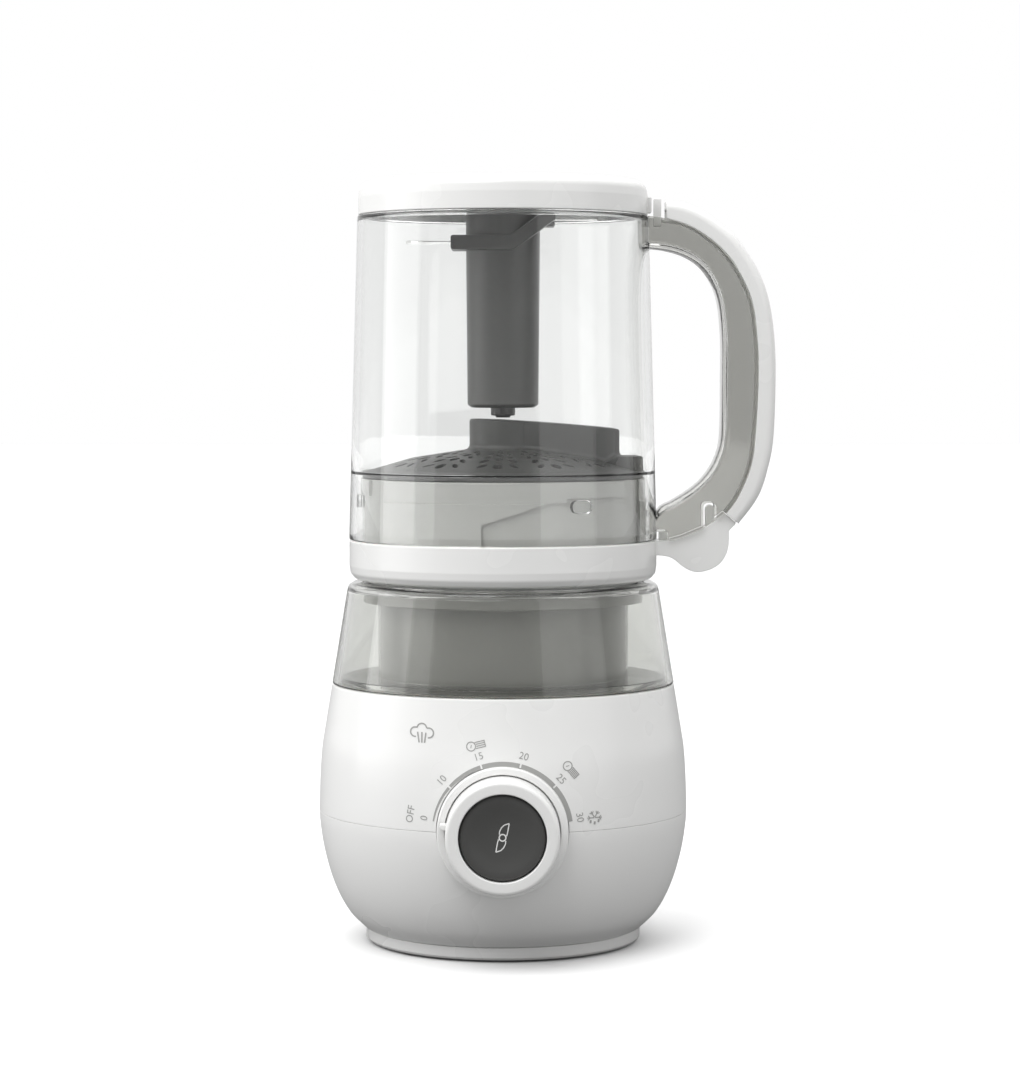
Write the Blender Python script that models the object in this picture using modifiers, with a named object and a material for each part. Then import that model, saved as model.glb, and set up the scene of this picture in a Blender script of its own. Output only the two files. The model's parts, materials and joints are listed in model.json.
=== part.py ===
"""Baby food maker that steams food, then blends it once its jar is turned over.

The jar stands in its steaming place: its closed end, with the blade unit, is at the
top, and its lid, which takes the steam, is at the bottom. The origin is on the body's
vertical axis, in the plane that the feet stand on. The handle is at +X, the knob at -Y
and the water filler at +Y. Sizes below are in millimetres.
"""

import math
from bisect import bisect_right

import bmesh
import bpy
from mathutils import Euler, Matrix, Vector

MM = 0.001
GAP = 0.3
BIG, MID, SMALL = 32, 20, 12
FRONT = (math.pi / 2, 0, 0)
REAR = (-math.pi / 2, 0, 0)

# Base
BODY = (
    (57.9, 6.5), (64.2, 12.8), (69.7, 22.8), (73.9, 36.1), (76.2, 50.0),
    (76.4, 60.0), (75.4, 79.5), (73.4, 92.8), (71.0, 107.4),
)
WALL = 2.4
SEAM_Z = 55.0
PLATE_R, PLATE_LOW, PLATE_TOP = 57.1, 1.0, 4.5
FOOT_R, FOOT_ORBIT, FOOT_TOP = 6.7, 44.0, 2.2
SCREW_ORBIT = 43.0
DECK_LOW, DECK_TOP = 102.4, 104.8

# Water tank and drive well
TANK_LOW, TANK_TOP = 107.7, 149.6
TANK_R_LOW, TANK_R_TOP, TANK_WALL = 71.0, 64.8, 2.6
WELL_R, WELL_MOUTH_R, WELL_SHELF, WELL_FLOOR = 52.0, 58.0, 141.5, 138.4
FLAP_LOW, FLAP_HIGH, FLAP_HALF = 129.0, 143.5, 15.0
HINGE_Y, HINGE_Z = 68.1, 131.6

# Steam and drive
STEAM_X = 42.0
SHAFT_R = 3.0
DRIVE_TOP = 154.0
MOTOR_R = 24.0

# Knob and button
KNOB_Z = 55.5
BEZEL_R, BEZEL_FRONT = 26.0, 78.0
KNOB_R, KNOB_FRONT, KNOB_BACK = 22.5, 93.0, 76.0
BUTTON_R, BUTTON_FRONT = 16.85, 91.5
POINTER_ANGLE = math.radians(172)

# Jar lid and sieve
LID_R, LID_LOW, LID_TOP = 63.75, 150.3, 166.8
LID_INNER_R, LID_RIM = 59.6, 192.5
LUG_ANGLE, RECESS_MIDDLE = math.radians(-59), math.radians(-60.5)
DUCT_TOP = 217.0

# Jar, cap and handle
JAR_LOW, JAR_TOP = 167.1, 306.6
JAR_R_LOW, JAR_R_HIGH, JAR_SHOULDER = 63.8, 60.2, 300.7
JAR_BORE = 61.1
CAP_R, CAP_LOW, CAP_TOP = 59.8, 301.0, 315.0
HANDLE_WIDTH = 21.0
CHANNEL_WIDTH = 15.0
ROD_WIDTH, ROD_THICK = 8.0, 3.0

# Blade unit
COLUMN_LOW, COLUMN_TOP = 221.6, 303.2
TIP_LOW = 217.5

PARTS = None
TOOLS = None


def new_collection(name, helper=False):
    group = bpy.data.collections.new(name)
    bpy.context.scene.collection.children.link(group)
    group.hide_render = helper
    return group


def new_object(name, data, at=(0, 0, 0), turn=(0, 0, 0)):
    """An object that starts as a helper; part() makes it a piece of the appliance."""
    obj = bpy.data.objects.new(name, data)
    obj.location = Vector(at) * MM
    obj.rotation_euler = turn
    obj.hide_render = True
    obj.display_type = "WIRE"
    TOOLS.objects.link(obj)
    return obj


def mesh_object(name, shape, at=(0, 0, 0), turn=(0, 0, 0)):
    mesh = bpy.data.meshes.new(name)
    shape.to_mesh(mesh)
    shape.free()
    return new_object(name, mesh, at, turn)


def turned(name, profile, steps=MID, at=(0, 0, 0), turn=(0, 0, 0)):
    """A profile of (radius, height) points turned about the object's own Z axis.

    A profile that starts and ends on the axis is left open there; any other is a loop.
    """
    points = [Vector((r * MM, 0, z * MM)) for r, z in profile]
    ahead = points[1:] + points[:1]
    if sum(a.x * b.z - b.x * a.z for a, b in zip(points, ahead)) > 0:
        points.reverse()
    shape = bmesh.new()
    verts = [shape.verts.new(point) for point in points]
    for pair in zip(verts, verts[1:]):
        shape.edges.new(pair)
    if min(r for r, _ in profile) > 0:
        shape.edges.new((verts[-1], verts[0]))
    obj = mesh_object(name, shape, at, turn)
    screw = obj.modifiers.new("Turn", "SCREW")
    screw.steps = screw.render_steps = steps
    screw.use_merge_vertices = True
    screw.merge_threshold = 0.00001
    return obj


def block(name, low, high):
    size = [(b - a) * MM for a, b in zip(low, high)]
    middle = [(a + b) / 2 for a, b in zip(low, high)]
    shape = bmesh.new()
    bmesh.ops.create_cube(shape, size=1, matrix=Matrix.Diagonal((*size, 1)))
    return mesh_object(name, shape, middle)


def radial_block(name, radii, width, heights, angle):
    """A block that runs out from the vertical axis, between two radii, at an angle."""
    obj = block(name, (radii[0], -width / 2, heights[0]), (radii[1], width / 2, heights[1]))
    obj.location.rotate(Euler((0, 0, angle)))
    obj.rotation_euler = (0, 0, angle)
    return obj


def drum(name, radius, start, end, steps=SMALL):
    """A cylinder between two points."""
    start, end = Vector(start), Vector(end)
    shape = bmesh.new()
    bmesh.ops.create_cone(
        shape, cap_ends=True, segments=steps, radius1=radius * MM, radius2=radius * MM,
        depth=(end - start).length * MM,
    )
    turn = (end - start).to_track_quat("Z", "Y").to_euler()
    return mesh_object(name, shape, (start + end) / 2, turn)


def as_mesh(curve_object):
    """Turns a curve object into a mesh object with its caps welded on."""
    bpy.context.view_layer.update()
    graph = bpy.context.evaluated_depsgraph_get()
    mesh = bpy.data.meshes.new_from_object(curve_object.evaluated_get(graph))
    shape = bmesh.new()
    shape.from_mesh(mesh)
    bmesh.ops.remove_doubles(shape, verts=shape.verts, dist=0.00001)
    bmesh.ops.recalc_face_normals(shape, faces=shape.faces)
    shape.to_mesh(mesh)
    shape.free()
    name = curve_object.name
    bpy.data.objects.remove(curve_object)
    return new_object(name, mesh)


def slab(name, outline, low, high, upright=False):
    """A flat outline given a thickness: along Z, or along Y for an upright one in XZ."""
    curve = bpy.data.curves.new(name, "CURVE")
    curve.dimensions = "2D"
    curve.fill_mode = "BOTH"
    curve.extrude = (high - low) / 2 * MM
    spline = curve.splines.new("POLY")
    spline.points.add(len(outline) - 1)
    for point, (x, y) in zip(spline.points, outline):
        point.co = (x * MM, y * MM, 0, 1)
    spline.use_cyclic_u = True
    middle = (low + high) / 2
    place = (0, middle, 0) if upright else (0, 0, middle)
    turn = FRONT if upright else (0, 0, 0)
    obj = as_mesh(new_object(name, curve))
    obj.location = Vector(place) * MM
    obj.rotation_euler = turn
    return obj


def tube(name, path, radius, at=(0, 0, 0)):
    curve = bpy.data.curves.new(name, "CURVE")
    curve.dimensions = "3D"
    curve.bevel_depth = radius * MM
    curve.bevel_resolution = 2
    curve.use_fill_caps = True
    spline = curve.splines.new("POLY")
    spline.points.add(len(path) - 1)
    for point, place in zip(spline.points, path):
        point.co = (*(Vector(place) * MM), 1)
    obj = as_mesh(new_object(name, curve))
    obj.location = Vector(at) * MM
    return obj


def boolean(target, *tools, operation="DIFFERENCE"):
    for tool in tools:
        step = target.modifiers.new(tool.name, "BOOLEAN")
        step.operation = operation
        step.object = tool
        step.solver = "EXACT"
    return target


def join(target, *tools):
    return boolean(target, *tools, operation="UNION")


def material(name, colour, roughness, metallic=0.0, clear=0.0):
    mat = bpy.data.materials.get(name)
    if mat is None:
        mat = bpy.data.materials.new(name)
        mat.use_nodes = True
        shader = mat.node_tree.nodes["Principled BSDF"]
        shader.inputs["Base Color"].default_value = (*colour, 1)
        shader.inputs["Roughness"].default_value = roughness
        shader.inputs["Metallic"].default_value = metallic
        shader.inputs["Transmission Weight"].default_value = clear
        mat.diffuse_color = (*colour, 1 - 0.7 * clear)
    return mat


LOOKS = {
    "white": ((0.86, 0.86, 0.85), 0.35),
    "grey": ((0.45, 0.45, 0.44), 0.45),
    "dark": ((0.08, 0.08, 0.08), 0.5),
    "smoky": ((0.55, 0.56, 0.54), 0.1, 0.0, 0.8),
    "clear": ((0.9, 0.92, 0.91), 0.08, 0.0, 0.95),
    "rubber": ((0.2, 0.2, 0.2), 0.8),
    "silicone": ((0.7, 0.7, 0.7), 0.6),
    "steel": ((0.7, 0.7, 0.7), 0.25, 1.0),
    "aluminium": ((0.75, 0.75, 0.76), 0.4, 1.0),
    "copper": ((0.7, 0.35, 0.2), 0.4, 1.0),
    "board": ((0.05, 0.25, 0.1), 0.5),
}


def part(obj, name, look, parent=None):
    """Makes a helper object a named piece, with its own material, on its moving frame."""
    TOOLS.objects.unlink(obj)
    PARTS.objects.link(obj)
    obj.name = name
    obj.data.name = name
    obj.hide_render = False
    obj.display_type = "TEXTURED"
    obj.data.materials.clear()
    obj.data.materials.append(material(f"{name}_{look}", *LOOKS[look]))
    if parent is not None:
        obj.parent = parent
        obj.matrix_parent_inverse = Matrix.Translation(parent.location).inverted()
    return obj


def frame(name, at=(0, 0, 0)):
    """An empty on a joint's axis, which carries the pieces that move with it."""
    empty = bpy.data.objects.new(name, None)
    empty.location = Vector(at) * MM
    empty.empty_display_size = 0.02
    PARTS.objects.link(empty)
    return empty


def radius_at(keys, height):
    """The radius at a height, on the smooth curve through (radius, height) keys."""
    heights = [h for _, h in keys]
    i = min(max(bisect_right(heights, height), 1), len(keys) - 1)
    (r0, h0), (r1, h1) = keys[i - 1], keys[i]

    def slope(k):
        low, high = max(k - 1, 0), min(k + 1, len(keys) - 1)
        return (keys[high][0] - keys[low][0]) / (keys[high][1] - keys[low][1])

    span = h1 - h0
    t = (height - h0) / span
    return (
        (2 * t**3 - 3 * t**2 + 1) * r0 + (t**3 - 2 * t**2 + t) * span * slope(i - 1)
        + (3 * t**2 - 2 * t**3) * r1 + (t**3 - t**2) * span * slope(i)
    )


def smooth_line(keys, per_span=3):
    """Points along a Catmull-Rom curve through flat key points."""
    line = []
    for i in range(len(keys) - 1):
        a, b = Vector(keys[max(i - 1, 0)]), Vector(keys[i])
        c, d = Vector(keys[i + 1]), Vector(keys[min(i + 2, len(keys) - 1)])
        for step in range(per_span):
            t = step / per_span
            line.append(tuple(0.5 * (
                2 * b + (c - a) * t + (2 * a - 5 * b + 4 * c - d) * t**2
                + (3 * b - a - 3 * c + d) * t**3
            )))
    return line + [tuple(keys[-1])]


def offset_line(line, distance):
    """A line moved sideways, to its left, by a distance."""
    moved = []
    for i, point in enumerate(line):
        before, after = line[max(i - 1, 0)], line[min(i + 1, len(line) - 1)]
        along = Vector((after[0] - before[0], after[1] - before[1])).normalized()
        moved.append((point[0] - along.y * distance, point[1] + along.x * distance))
    return moved


def around(count, radius, start=0.0):
    for i in range(count):
        angle = start + 2 * math.pi * i / count
        yield radius * math.cos(angle), radius * math.sin(angle)


def tank_radius(z):
    return TANK_R_LOW + (TANK_R_TOP - TANK_R_LOW) * (z - TANK_LOW) / (145.6 - TANK_LOW)


# ---------------------------------------------------------------- base


def base_plate():
    plate = turned("plate", [
        (0, PLATE_LOW), (55.9, PLATE_LOW), (PLATE_R, 2.0), (PLATE_R, 6.2), (52.4, 6.2),
        (52.4, 8.6), (50.4, 8.6), (50.4, PLATE_TOP), (0, PLATE_TOP),
    ], BIG)
    for i, (x, y) in enumerate(around(4, FOOT_ORBIT), 1):
        boolean(plate, drum(f"foot_pocket_{i}", FOOT_R + 0.5, (x, y, 0), (x, y, 2.5)))
        part(drum("foot", FOOT_R, (x, y, 0), (x, y, FOOT_TOP)), f"foot_{i}", "rubber")
    for i, (x, y) in enumerate(around(4, SCREW_ORBIT, math.pi / 4), 1):
        boolean(
            plate,
            drum(f"screw_head_room_{i}", 3.4, (x, y, 0), (x, y, 3.0), 12),
            drum(f"screw_hole_{i}", 1.7, (x, y, 2), (x, y, 6), 12),
        )
        screw = turned("screw", [
            (0, 1.3), (3.0, 1.3), (3.0, 2.7), (1.4, 2.7), (1.4, 13.0), (0, 13.8),
        ], 10, (x, y, 0))
        part(screw, f"base_screw_{i}", "steel")
    part(plate, "base_plate", "white")


def knob_opening(name):
    """The round hole that the knob's bezel fills, through the front of the body."""
    return drum(name, BEZEL_R + GAP, (0, -90, KNOB_Z), (0, -50, KNOB_Z), BIG)


def lower_housing():
    outside = [(radius_at(BODY, z), z) for z in (SEAM_Z - GAP / 2, 46, 37, 28, 19, 11)]
    inside = [(radius_at(BODY, z) - WALL, z) for z in (13.5, 24, 38, SEAM_Z - GAP / 2)]
    shell = turned("lower", [*outside, (57.9, 6.5), (52.9, 6.5), (52.9, 8.9), *inside], BIG)
    for i, (x, y) in enumerate(around(4, SCREW_ORBIT, math.pi / 4), 1):
        post = drum(f"post_{i}", 4.2, (x, y, 4.8), (x, y, 24), 12)
        rib = radial_block(f"rib_{i}", (45, 63.6), 3.0, (12.5, 23.5), math.atan2(y, x))
        hole = drum(f"post_hole_{i}", 1.75, (x, y, 3), (x, y, 15), 12)
        join(shell, post, rib)
        boolean(shell, hole)
    boolean(shell, knob_opening("lower_knob_hole"))
    boolean(shell, drum("cord_hole", 6.3, (0, 50, 24), (0, 90, 24), 20))
    part(shell, "lower_housing", "white")


def upper_housing():
    outside = [(radius_at(BODY, z), z) for z in (107.4, 96, 84, 72, 62, SEAM_Z + GAP / 2)]
    inside = [(radius_at(BODY, z) - WALL, z) for z in (60, 80)]
    tongue = radius_at(BODY, 51) - WALL - 0.5
    shell = turned("upper", [
        *outside, (tongue, SEAM_Z + GAP / 2), (tongue, 51), (tongue - 1.5, 51),
        (tongue - 1.5, 57), *inside, (69.5, DECK_LOW), (12, DECK_LOW), (12, DECK_TOP),
        (68.6, DECK_TOP), (68.6, 107.4),
    ], BIG)
    boolean(
        shell,
        drum("steam_hole", 4.5, (STEAM_X, 0, 100), (STEAM_X, 0, 106)),
        drum("feed_hole", 3.1, (46, 38.6, 100), (46, 38.6, 106)),
        knob_opening("upper_knob_hole"),
    )
    part(shell, "upper_housing", "white")


def tank():
    shell = turned("shell", [
        (TANK_R_LOW, TANK_LOW), (TANK_R_TOP, 145.6), (64.3, 147.6), (63.2, 149.1),
        (61.6, TANK_TOP), (58.5, TANK_TOP), (58.5, 147.2), (60.8, 147.0), (62.0, 145.6),
        (TANK_R_LOW - TANK_WALL, TANK_LOW),
    ], BIG)
    boolean(shell, flap_tool("flap_hole", 0.4))
    for side in (-1, 1):
        low_x, high_x = sorted((side * 15.6, side * 18.4))
        ear = block(f"hinge_ear_{side}", (low_x, 63.6, 129.2), (high_x, 69.8, 134.2))
        join(shell, ear)
    boolean(shell, hinge_bore("ear_bore"))
    part(shell, "tank_shell", "smoky")

    floor = turned("floor", [(67.8, 108.2), (67.4, 110.6), (52.5, 110.6), (52.5, 108.2)], BIG)
    boolean(floor, drum("feed_floor_hole", 3.1, (46, 38.6, 107), (46, 38.6, 112)))
    part(floor, "tank_floor", "smoky")
    seal = turned("seal", [(67.0, 105.1), (67.0, 107.9), (64.2, 107.9), (64.2, 105.1)], MID)
    part(seal, "tank_seal", "silicone")

    well = turned("well", [
        (WELL_MOUTH_R, WELL_SHELF), (WELL_MOUTH_R, 149.3), (56.0, 149.3), (56.0, 143.5),
        (50.0, 143.5), (50.0, WELL_FLOOR), (4.2, WELL_FLOOR), (4.2, WELL_FLOOR - 2.4),
        (50.0, WELL_FLOOR - 2.4), (50.0, 108.2), (WELL_R, 108.2), (WELL_R, WELL_SHELF),
    ], BIG)
    boolean(well, drum("nozzle_hole", 5.0, (STEAM_X, 0, 130), (STEAM_X, 0, 142)))
    part(well, "drive_well", "white")


def hinge_bore(name):
    return drum(name, 1.1, (-30, HINGE_Y, HINGE_Z), (30, HINGE_Y, HINGE_Z), 12)


def flap_tool(name, margin):
    """A block across the rear wall of the tank, as large as the filler flap."""
    return block(
        name,
        (-FLAP_HALF - margin, 50, FLAP_LOW - margin),
        (FLAP_HALF + margin, 80, FLAP_HIGH + margin),
    )


def filler_flap():
    """The filler's flap is cut from the same wall as the tank, and tips out on a pin."""
    hinge = frame("filler_hinge", (0, HINGE_Y, HINGE_Z))
    high, low = FLAP_HIGH + 2.5, FLAP_LOW - 2
    flap = turned("flap", [
        (tank_radius(low), low), (tank_radius(high), high),
        (tank_radius(high) - TANK_WALL, high), (tank_radius(low) - TANK_WALL, low),
    ], BIG)
    boolean(flap, flap_tool("flap_outline", 0), operation="INTERSECT")
    join(
        flap,
        drum("knuckle", 2.0, (-15.2, HINGE_Y, HINGE_Z), (15.2, HINGE_Y, HINGE_Z), 12),
        block("flap_lip", (-7, 64.5, FLAP_HIGH - 3), (7, 69.0, FLAP_HIGH - 1.2)),
    )
    boolean(flap, hinge_bore("knuckle_bore"))
    part(flap, "filler_flap", "smoky", hinge)
    pin = drum("pin", 0.8, (-18.2, HINGE_Y, HINGE_Z), (18.2, HINGE_Y, HINGE_Z), 10)
    part(pin, "filler_pin", "steel")


def steam_parts():
    at = (STEAM_X, 0, 0)
    nozzle = turned("nozzle", [
        (4.6, 105.1), (4.6, 133.2), (6.8, 133.2), (6.8, 135.4), (4.6, 135.4), (4.4, 147.8),
        (3.8, 148.6), (2.4, 148.6), (2.4, 105.1),
    ], SMALL, at)
    part(nozzle, "steam_nozzle", "white")
    ring = [(7.2, 143.8), (7.2, 146.0), (4.9, 146.0), (4.9, 143.8)]
    seal = turned("nozzle_ring", ring, SMALL, at)
    part(seal, "nozzle_seal", "silicone")
    pipe = turned("pipe", [(4.0, 96.3), (4.0, 104.7), (2.4, 104.7), (2.4, 96.3)], SMALL, at)
    part(pipe, "steam_pipe", "silicone")
    boiler = turned("pot", [
        (0, 62.0), (16.0, 62.0), (16.0, 96.0), (2.6, 96.0), (2.6, 93.5), (13.5, 93.5),
        (13.5, 65.0), (0, 65.0),
    ], MID, at)
    part(boiler, "boiler", "aluminium")
    ring = [(*point, 58.6) for point in around(20, 10.2)][1:-1]
    ends = [(ring[0][0] + 6, ring[0][1], 58.6), (ring[-1][0] + 6, ring[-1][1], 58.6)]
    part(tube("element", [ends[0], *ring, ends[1]], 2.4, at), "heating_element", "steel")
    part(drum("sensor", 5.0, (STEAM_X, 0, 52), (STEAM_X, 0, 61.6)), "thermostat", "dark")
    hose = [
        (46, 38.6, 112.5), (46, 38.6, 92), (45.4, 36, 84), (43.6, 28, 76), (42.4, 22, 73.4),
        (42, 16.7, 73),
    ]
    part(tube("hose", hose, 2.5), "feed_hose", "silicone")


def drive_parts(spin):
    can = turned("can", [
        (4.2, 80), (MOTOR_R, 80), (MOTOR_R, 34), (22.6, 34), (22.6, 78.5), (4.2, 78.5),
    ], MID)
    part(can, "motor_can", "steel")
    stator = turned("stator", [(22.2, 42), (22.2, 72), (18.2, 72), (18.2, 42)], MID)
    part(stator, "motor_stator", "grey")
    end_cap = turned("end", [(22.2, 34.4), (22.2, 37.4), (3.5, 37.4), (3.5, 34.4)], MID)
    part(end_cap, "motor_end_cap", "grey")
    bracket = turned("bracket_disc", [(24.4, 82), (24.4, 84.6), (4.4, 84.6), (4.4, 82)], MID)
    for i, (x, y) in enumerate(around(3, 21, math.pi / 3)):
        join(bracket, drum(f"bracket_leg_{i}", 2.6, (x, y, 83), (x, y, DECK_LOW - GAP), 10))
    part(bracket, "motor_bracket", "grey")

    shaft = turned("shaft", [(0, 21), (SHAFT_R, 21), (SHAFT_R, 149), (0, 149)], SMALL)
    part(shaft, "drive_shaft", "steel", spin)
    rotor = turned("rotor", [(17.2, 44), (17.2, 70), (3.4, 70), (3.4, 44)], MID)
    part(rotor, "armature", "copper", spin)
    fan = turned("fan", [
        (6.5, 31.5), (6.5, 26), (20, 26), (20, 24.4), (3.4, 24.4), (3.4, 31.5),
    ], MID)
    for i in range(6):
        join(fan, radial_block(f"fan_blade_{i}", (5, 19), 1.4, (25, 31), math.pi * i / 3))
    part(fan, "cooling_fan", "dark", spin)
    coupling = turned("coupling", [
        (0, DRIVE_TOP), (6.8, DRIVE_TOP), (7.8, DRIVE_TOP - 1), (7.8, 139.4), (3.4, 139.4),
        (3.4, 149.4), (0, 149.4),
    ], SMALL)
    for i, (x, y) in enumerate(around(6, 7.4)):
        join(coupling, drum(f"coupling_dog_{i}", 1.5, (x, y, 140), (x, y, DRIVE_TOP - 0.6), 8))
    part(coupling, "drive_coupling", "dark", spin)


def electric_parts():
    board = block("board", (-50, -22, 38), (-48.4, 22, 78))
    join(
        board,
        block("board_relay", (-49, -16, 60), (-38, 2, 74)),
        block("board_supply", (-49, 6, 44), (-36, 20, 64)),
        block("board_plug", (-49, -18, 42), (-42, -4, 48)),
    )
    part(board, "control_board", "board")
    timer = block("timer", (-15, -62, KNOB_Z - 15), (15, -45, KNOB_Z + 15))
    boolean(timer, drum("timer_bore", 9.3, (0, -70, KNOB_Z), (0, -40, KNOB_Z)))
    part(timer, "timer_switch", "grey")
    switch = block("switch", (-6, -43.7, KNOB_Z - 8), (6, -34, KNOB_Z + 8))
    part(switch, "blend_switch", "dark")
    part(block("interlock", (56, -5, 97.5), (66, 5, DECK_LOW - GAP)), "interlock_switch", "dark")
    gland = turned("gland", [
        (3.3, 60), (3.3, 74.5), (4.6, 74.5), (5.9, 71.5), (5.9, 62), (7.8, 62), (7.8, 60),
    ], 20, (0, 0, 24), REAR)
    part(gland, "cord_gland", "rubber")


def knob_parts(knob_axis, button_axis):
    at = (0, 0, KNOB_Z)
    bezel = turned("bezel", [
        (BEZEL_R, 66), (BEZEL_R, 77.2), (25.2, BEZEL_FRONT), (KNOB_R + 0.6, BEZEL_FRONT),
        (KNOB_R + 0.6, 68.5), (9.5, 68.5), (9.5, 66),
    ], MID, at, FRONT)
    part(bezel, "knob_bezel", "white")
    knob = turned("knob", [
        (17.3, 81.0), (17.3, 92.3), (18.0, KNOB_FRONT), (20.6, KNOB_FRONT), (22.0, 92.2),
        (KNOB_R, 90.8), (KNOB_R, KNOB_BACK), (20.2, KNOB_BACK), (20.2, 78.5), (8.5, 78.5),
        (8.5, 54), (6.0, 54), (6.0, 81.0),
    ], MID, at, FRONT)
    nub = block("knob_pointer", (KNOB_R - 2, -84.5, -1.3), (KNOB_R + 2.4, -79, 1.3))
    middle = KNOB_R + 0.2
    nub.location = Vector((
        middle * math.cos(POINTER_ANGLE), -81.75, KNOB_Z + middle * math.sin(POINTER_ANGLE),
    )) * MM
    nub.rotation_euler = (0, -POINTER_ANGLE, 0)
    join(knob, nub)
    part(knob, "timer_knob", "white", knob_axis)
    button = turned("button", [
        (0, 89.4), (8, 89.8), (13.2, 91.2), (15.6, BUTTON_FRONT), (BUTTON_R, 90.6), (BUTTON_R, 86),
        (5.4, 86), (5.4, 47), (0, 47),
    ], MID, at, FRONT)
    part(button, "blend_button", "dark", button_axis)
    turns, points = 1.6, 16
    coil = [
        (
            9.4 * math.cos(2 * math.pi * turns * i / points),
            -82.1 - 2.9 * i / points,
            KNOB_Z + 9.4 * math.sin(2 * math.pi * turns * i / points),
        )
        for i in range(points + 1)
    ]
    part(tube("spring", coil, 0.6), "button_spring", "steel", button_axis)


# ---------------------------------------------------------------- jar lid


ARM_TOP = (
    (59.5, 166.8), (70.0, 167.0), (74.6, 168.2), (79.6, 170.3), (83.5, 172.0), (89.0, 175.7),
    (92.0, 178.2),
)
ARM_UNDER = (
    (96.8, 174.1), (93.8, 171.0), (93.3, 163.4), (90.4, 158.0), (85.5, 155.4), (79.4, 153.6),
    (73.8, 156.6), (69.8, 160.2), (59.5, 160.2),
)
TOOTH = ((84.0, 171), (87.8, 173), (87.8, 180.6), (87.0, 181.4), (84.8, 181.4), (84.0, 180.6))
RECESS = (
    (-36.3, 167.2), (-36.3, 175.7), (-13.6, 184.1), (-4.2, 184.1), (-4.2, 185.9),
    (25.2, 185.9), (25.2, 194.0), (36.3, 194.0), (36.3, 167.2),
)


def sector(name, profile, half_width):
    """A turned ring of which only a strip along +X is kept."""
    ring = turned(name, profile, 96)
    keep = block(f"{name}_keep", (30, -half_width, 100), (130, half_width, 330))
    return boolean(ring, keep, operation="INTERSECT")


def turned_slab(name, outline, low, high, angle):
    """An upright slab, made at the front and then turned about the Z axis."""
    shape = slab(name, outline, low, high, True)
    shape.location.rotate(Euler((0, 0, angle)))
    shape.rotation_euler.z = angle
    return shape


def bayonet_recess(name, angle):
    """A shallow recess in the lid's cylinder, in which one of the jar's lugs turns."""
    ring = turned(name, [(58.2, 160), (62, 160), (62, 196), (58.2, 196)], 48)
    window = turned_slab(f"{name}_window", RECESS, -75, -40, angle)
    return boolean(ring, window, operation="INTERSECT")


def jar_lid(body):
    lid = turned("lid", [
        (0, 156.4), (13, 156.4), (13, 152.4), (53.0, 152.4), (53.0, 146.5), (55.3, 146.5),
        (55.3, LID_LOW), (58.8, LID_LOW),
        (61.2, 151.2), (63.0, 153.0), (LID_R, 155.5), (LID_R, LID_TOP), (LID_INNER_R, LID_TOP),
        (LID_INNER_R, 183.6), (59.1, 184.1), (59.1, LID_RIM), (56.8, LID_RIM), (56.8, 155.2),
        (16, 155.2), (16, 159.2), (0, 159.2),
    ], BIG)
    arm = sector("arm", [*ARM_TOP, *ARM_UNDER], 8.5)
    tooth = sector("tooth", TOOTH, 2.5)
    join(lid, arm, tooth, block("arm_rib", (64.8, -3, 166), (68.2, 3, 170.3)))
    boolean(lid, turned("groove", [(60.4, 165), (62.7, 165), (62.7, 168), (60.4, 168)], BIG))
    boolean(lid, drum("inlet_hole", 7.6, (STEAM_X, 0, 150), (STEAM_X, 0, 158)))
    for i in range(3):
        angle = RECESS_MIDDLE + math.pi / 2 + 2 * math.pi * i / 3
        boolean(lid, bayonet_recess(f"recess_{i}", angle))
    part(lid, "jar_lid", "white", body)

    seal = turned("lid_ring", [(62.5, 165.2), (62.5, 167.0), (60.6, 167.0), (60.6, 165.2)], BIG)
    part(seal, "lid_seal", "silicone", body)
    inlet = turned("inlet", [
        (7.2, 146.4), (7.2, 155.6), (9.6, 155.6), (9.6, 157.4), (6.4, 157.4), (6.0, 190.0),
        (3.6, 190.0), (5.4, 156), (5.4, 146.4),
    ], SMALL, (STEAM_X, 0, 0))
    part(inlet, "steam_inlet", "grey", body)


def duct_outline(inset):
    """The sieve's steam duct in plan: round about the axis, then a bar towards +X."""
    radius, half, end = 13.9 - inset, 11.0 - inset, 47.8 - inset
    join_x = math.sqrt(radius**2 - half**2)
    start = math.atan2(half, join_x)
    sweep = 2 * (math.pi - start)
    arc = [
        (radius * math.cos(start + sweep * i / 14), radius * math.sin(start + sweep * i / 14))
        for i in range(15)
    ]
    return [(end - 3, half), *arc, (end - 3, -half), (end, -half + 3), (end, half - 3)]


def sieve(body):
    dome = turned("dome", [
        (0, 204.4), (16, 204.2), (38, 200.8), (54, 196.2), (58.3, 195.6), (58.3, 192.8),
        (54, 192.8), (38, 198.6), (16, 202.2), (0, 202.4),
    ], BIG)
    duct = slab("duct", duct_outline(0), 200, 222)
    hollow = slab("duct_hollow", duct_outline(2.2), 190, 210.3)
    slope = math.atan2(DUCT_TOP - 212.9, 47.8)
    top = block("duct_top", (-40, -40, 0), (80, 40, 30))
    top.rotation_euler = (0, slope, 0)
    top.location = Vector((20 * math.cos(slope) + 15 * math.sin(slope), 0,
                           DUCT_TOP + 15 * math.cos(slope) - 20 * math.sin(slope))) * MM
    boolean(duct, top)
    rim = block("duct_rim", (46, -12, 195), (57.2, 12, 201.7))
    join(dome, duct, rim)
    boolean(dome, hollow)
    for ring, (count, radius) in enumerate(((8, 29.0), (12, 45.0))):
        for i, (x, y) in enumerate(around(count, radius, math.pi / count)):
            if x < 5 or abs(y) > 15.5:
                hole = drum(f"steam_hole_{ring}_{i}", 2.1, (x, y, 185), (x, y, 215), 6)
                boolean(dome, hole)
    part(dome, "sieve", "dark", body)


# ---------------------------------------------------------------- jar


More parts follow.
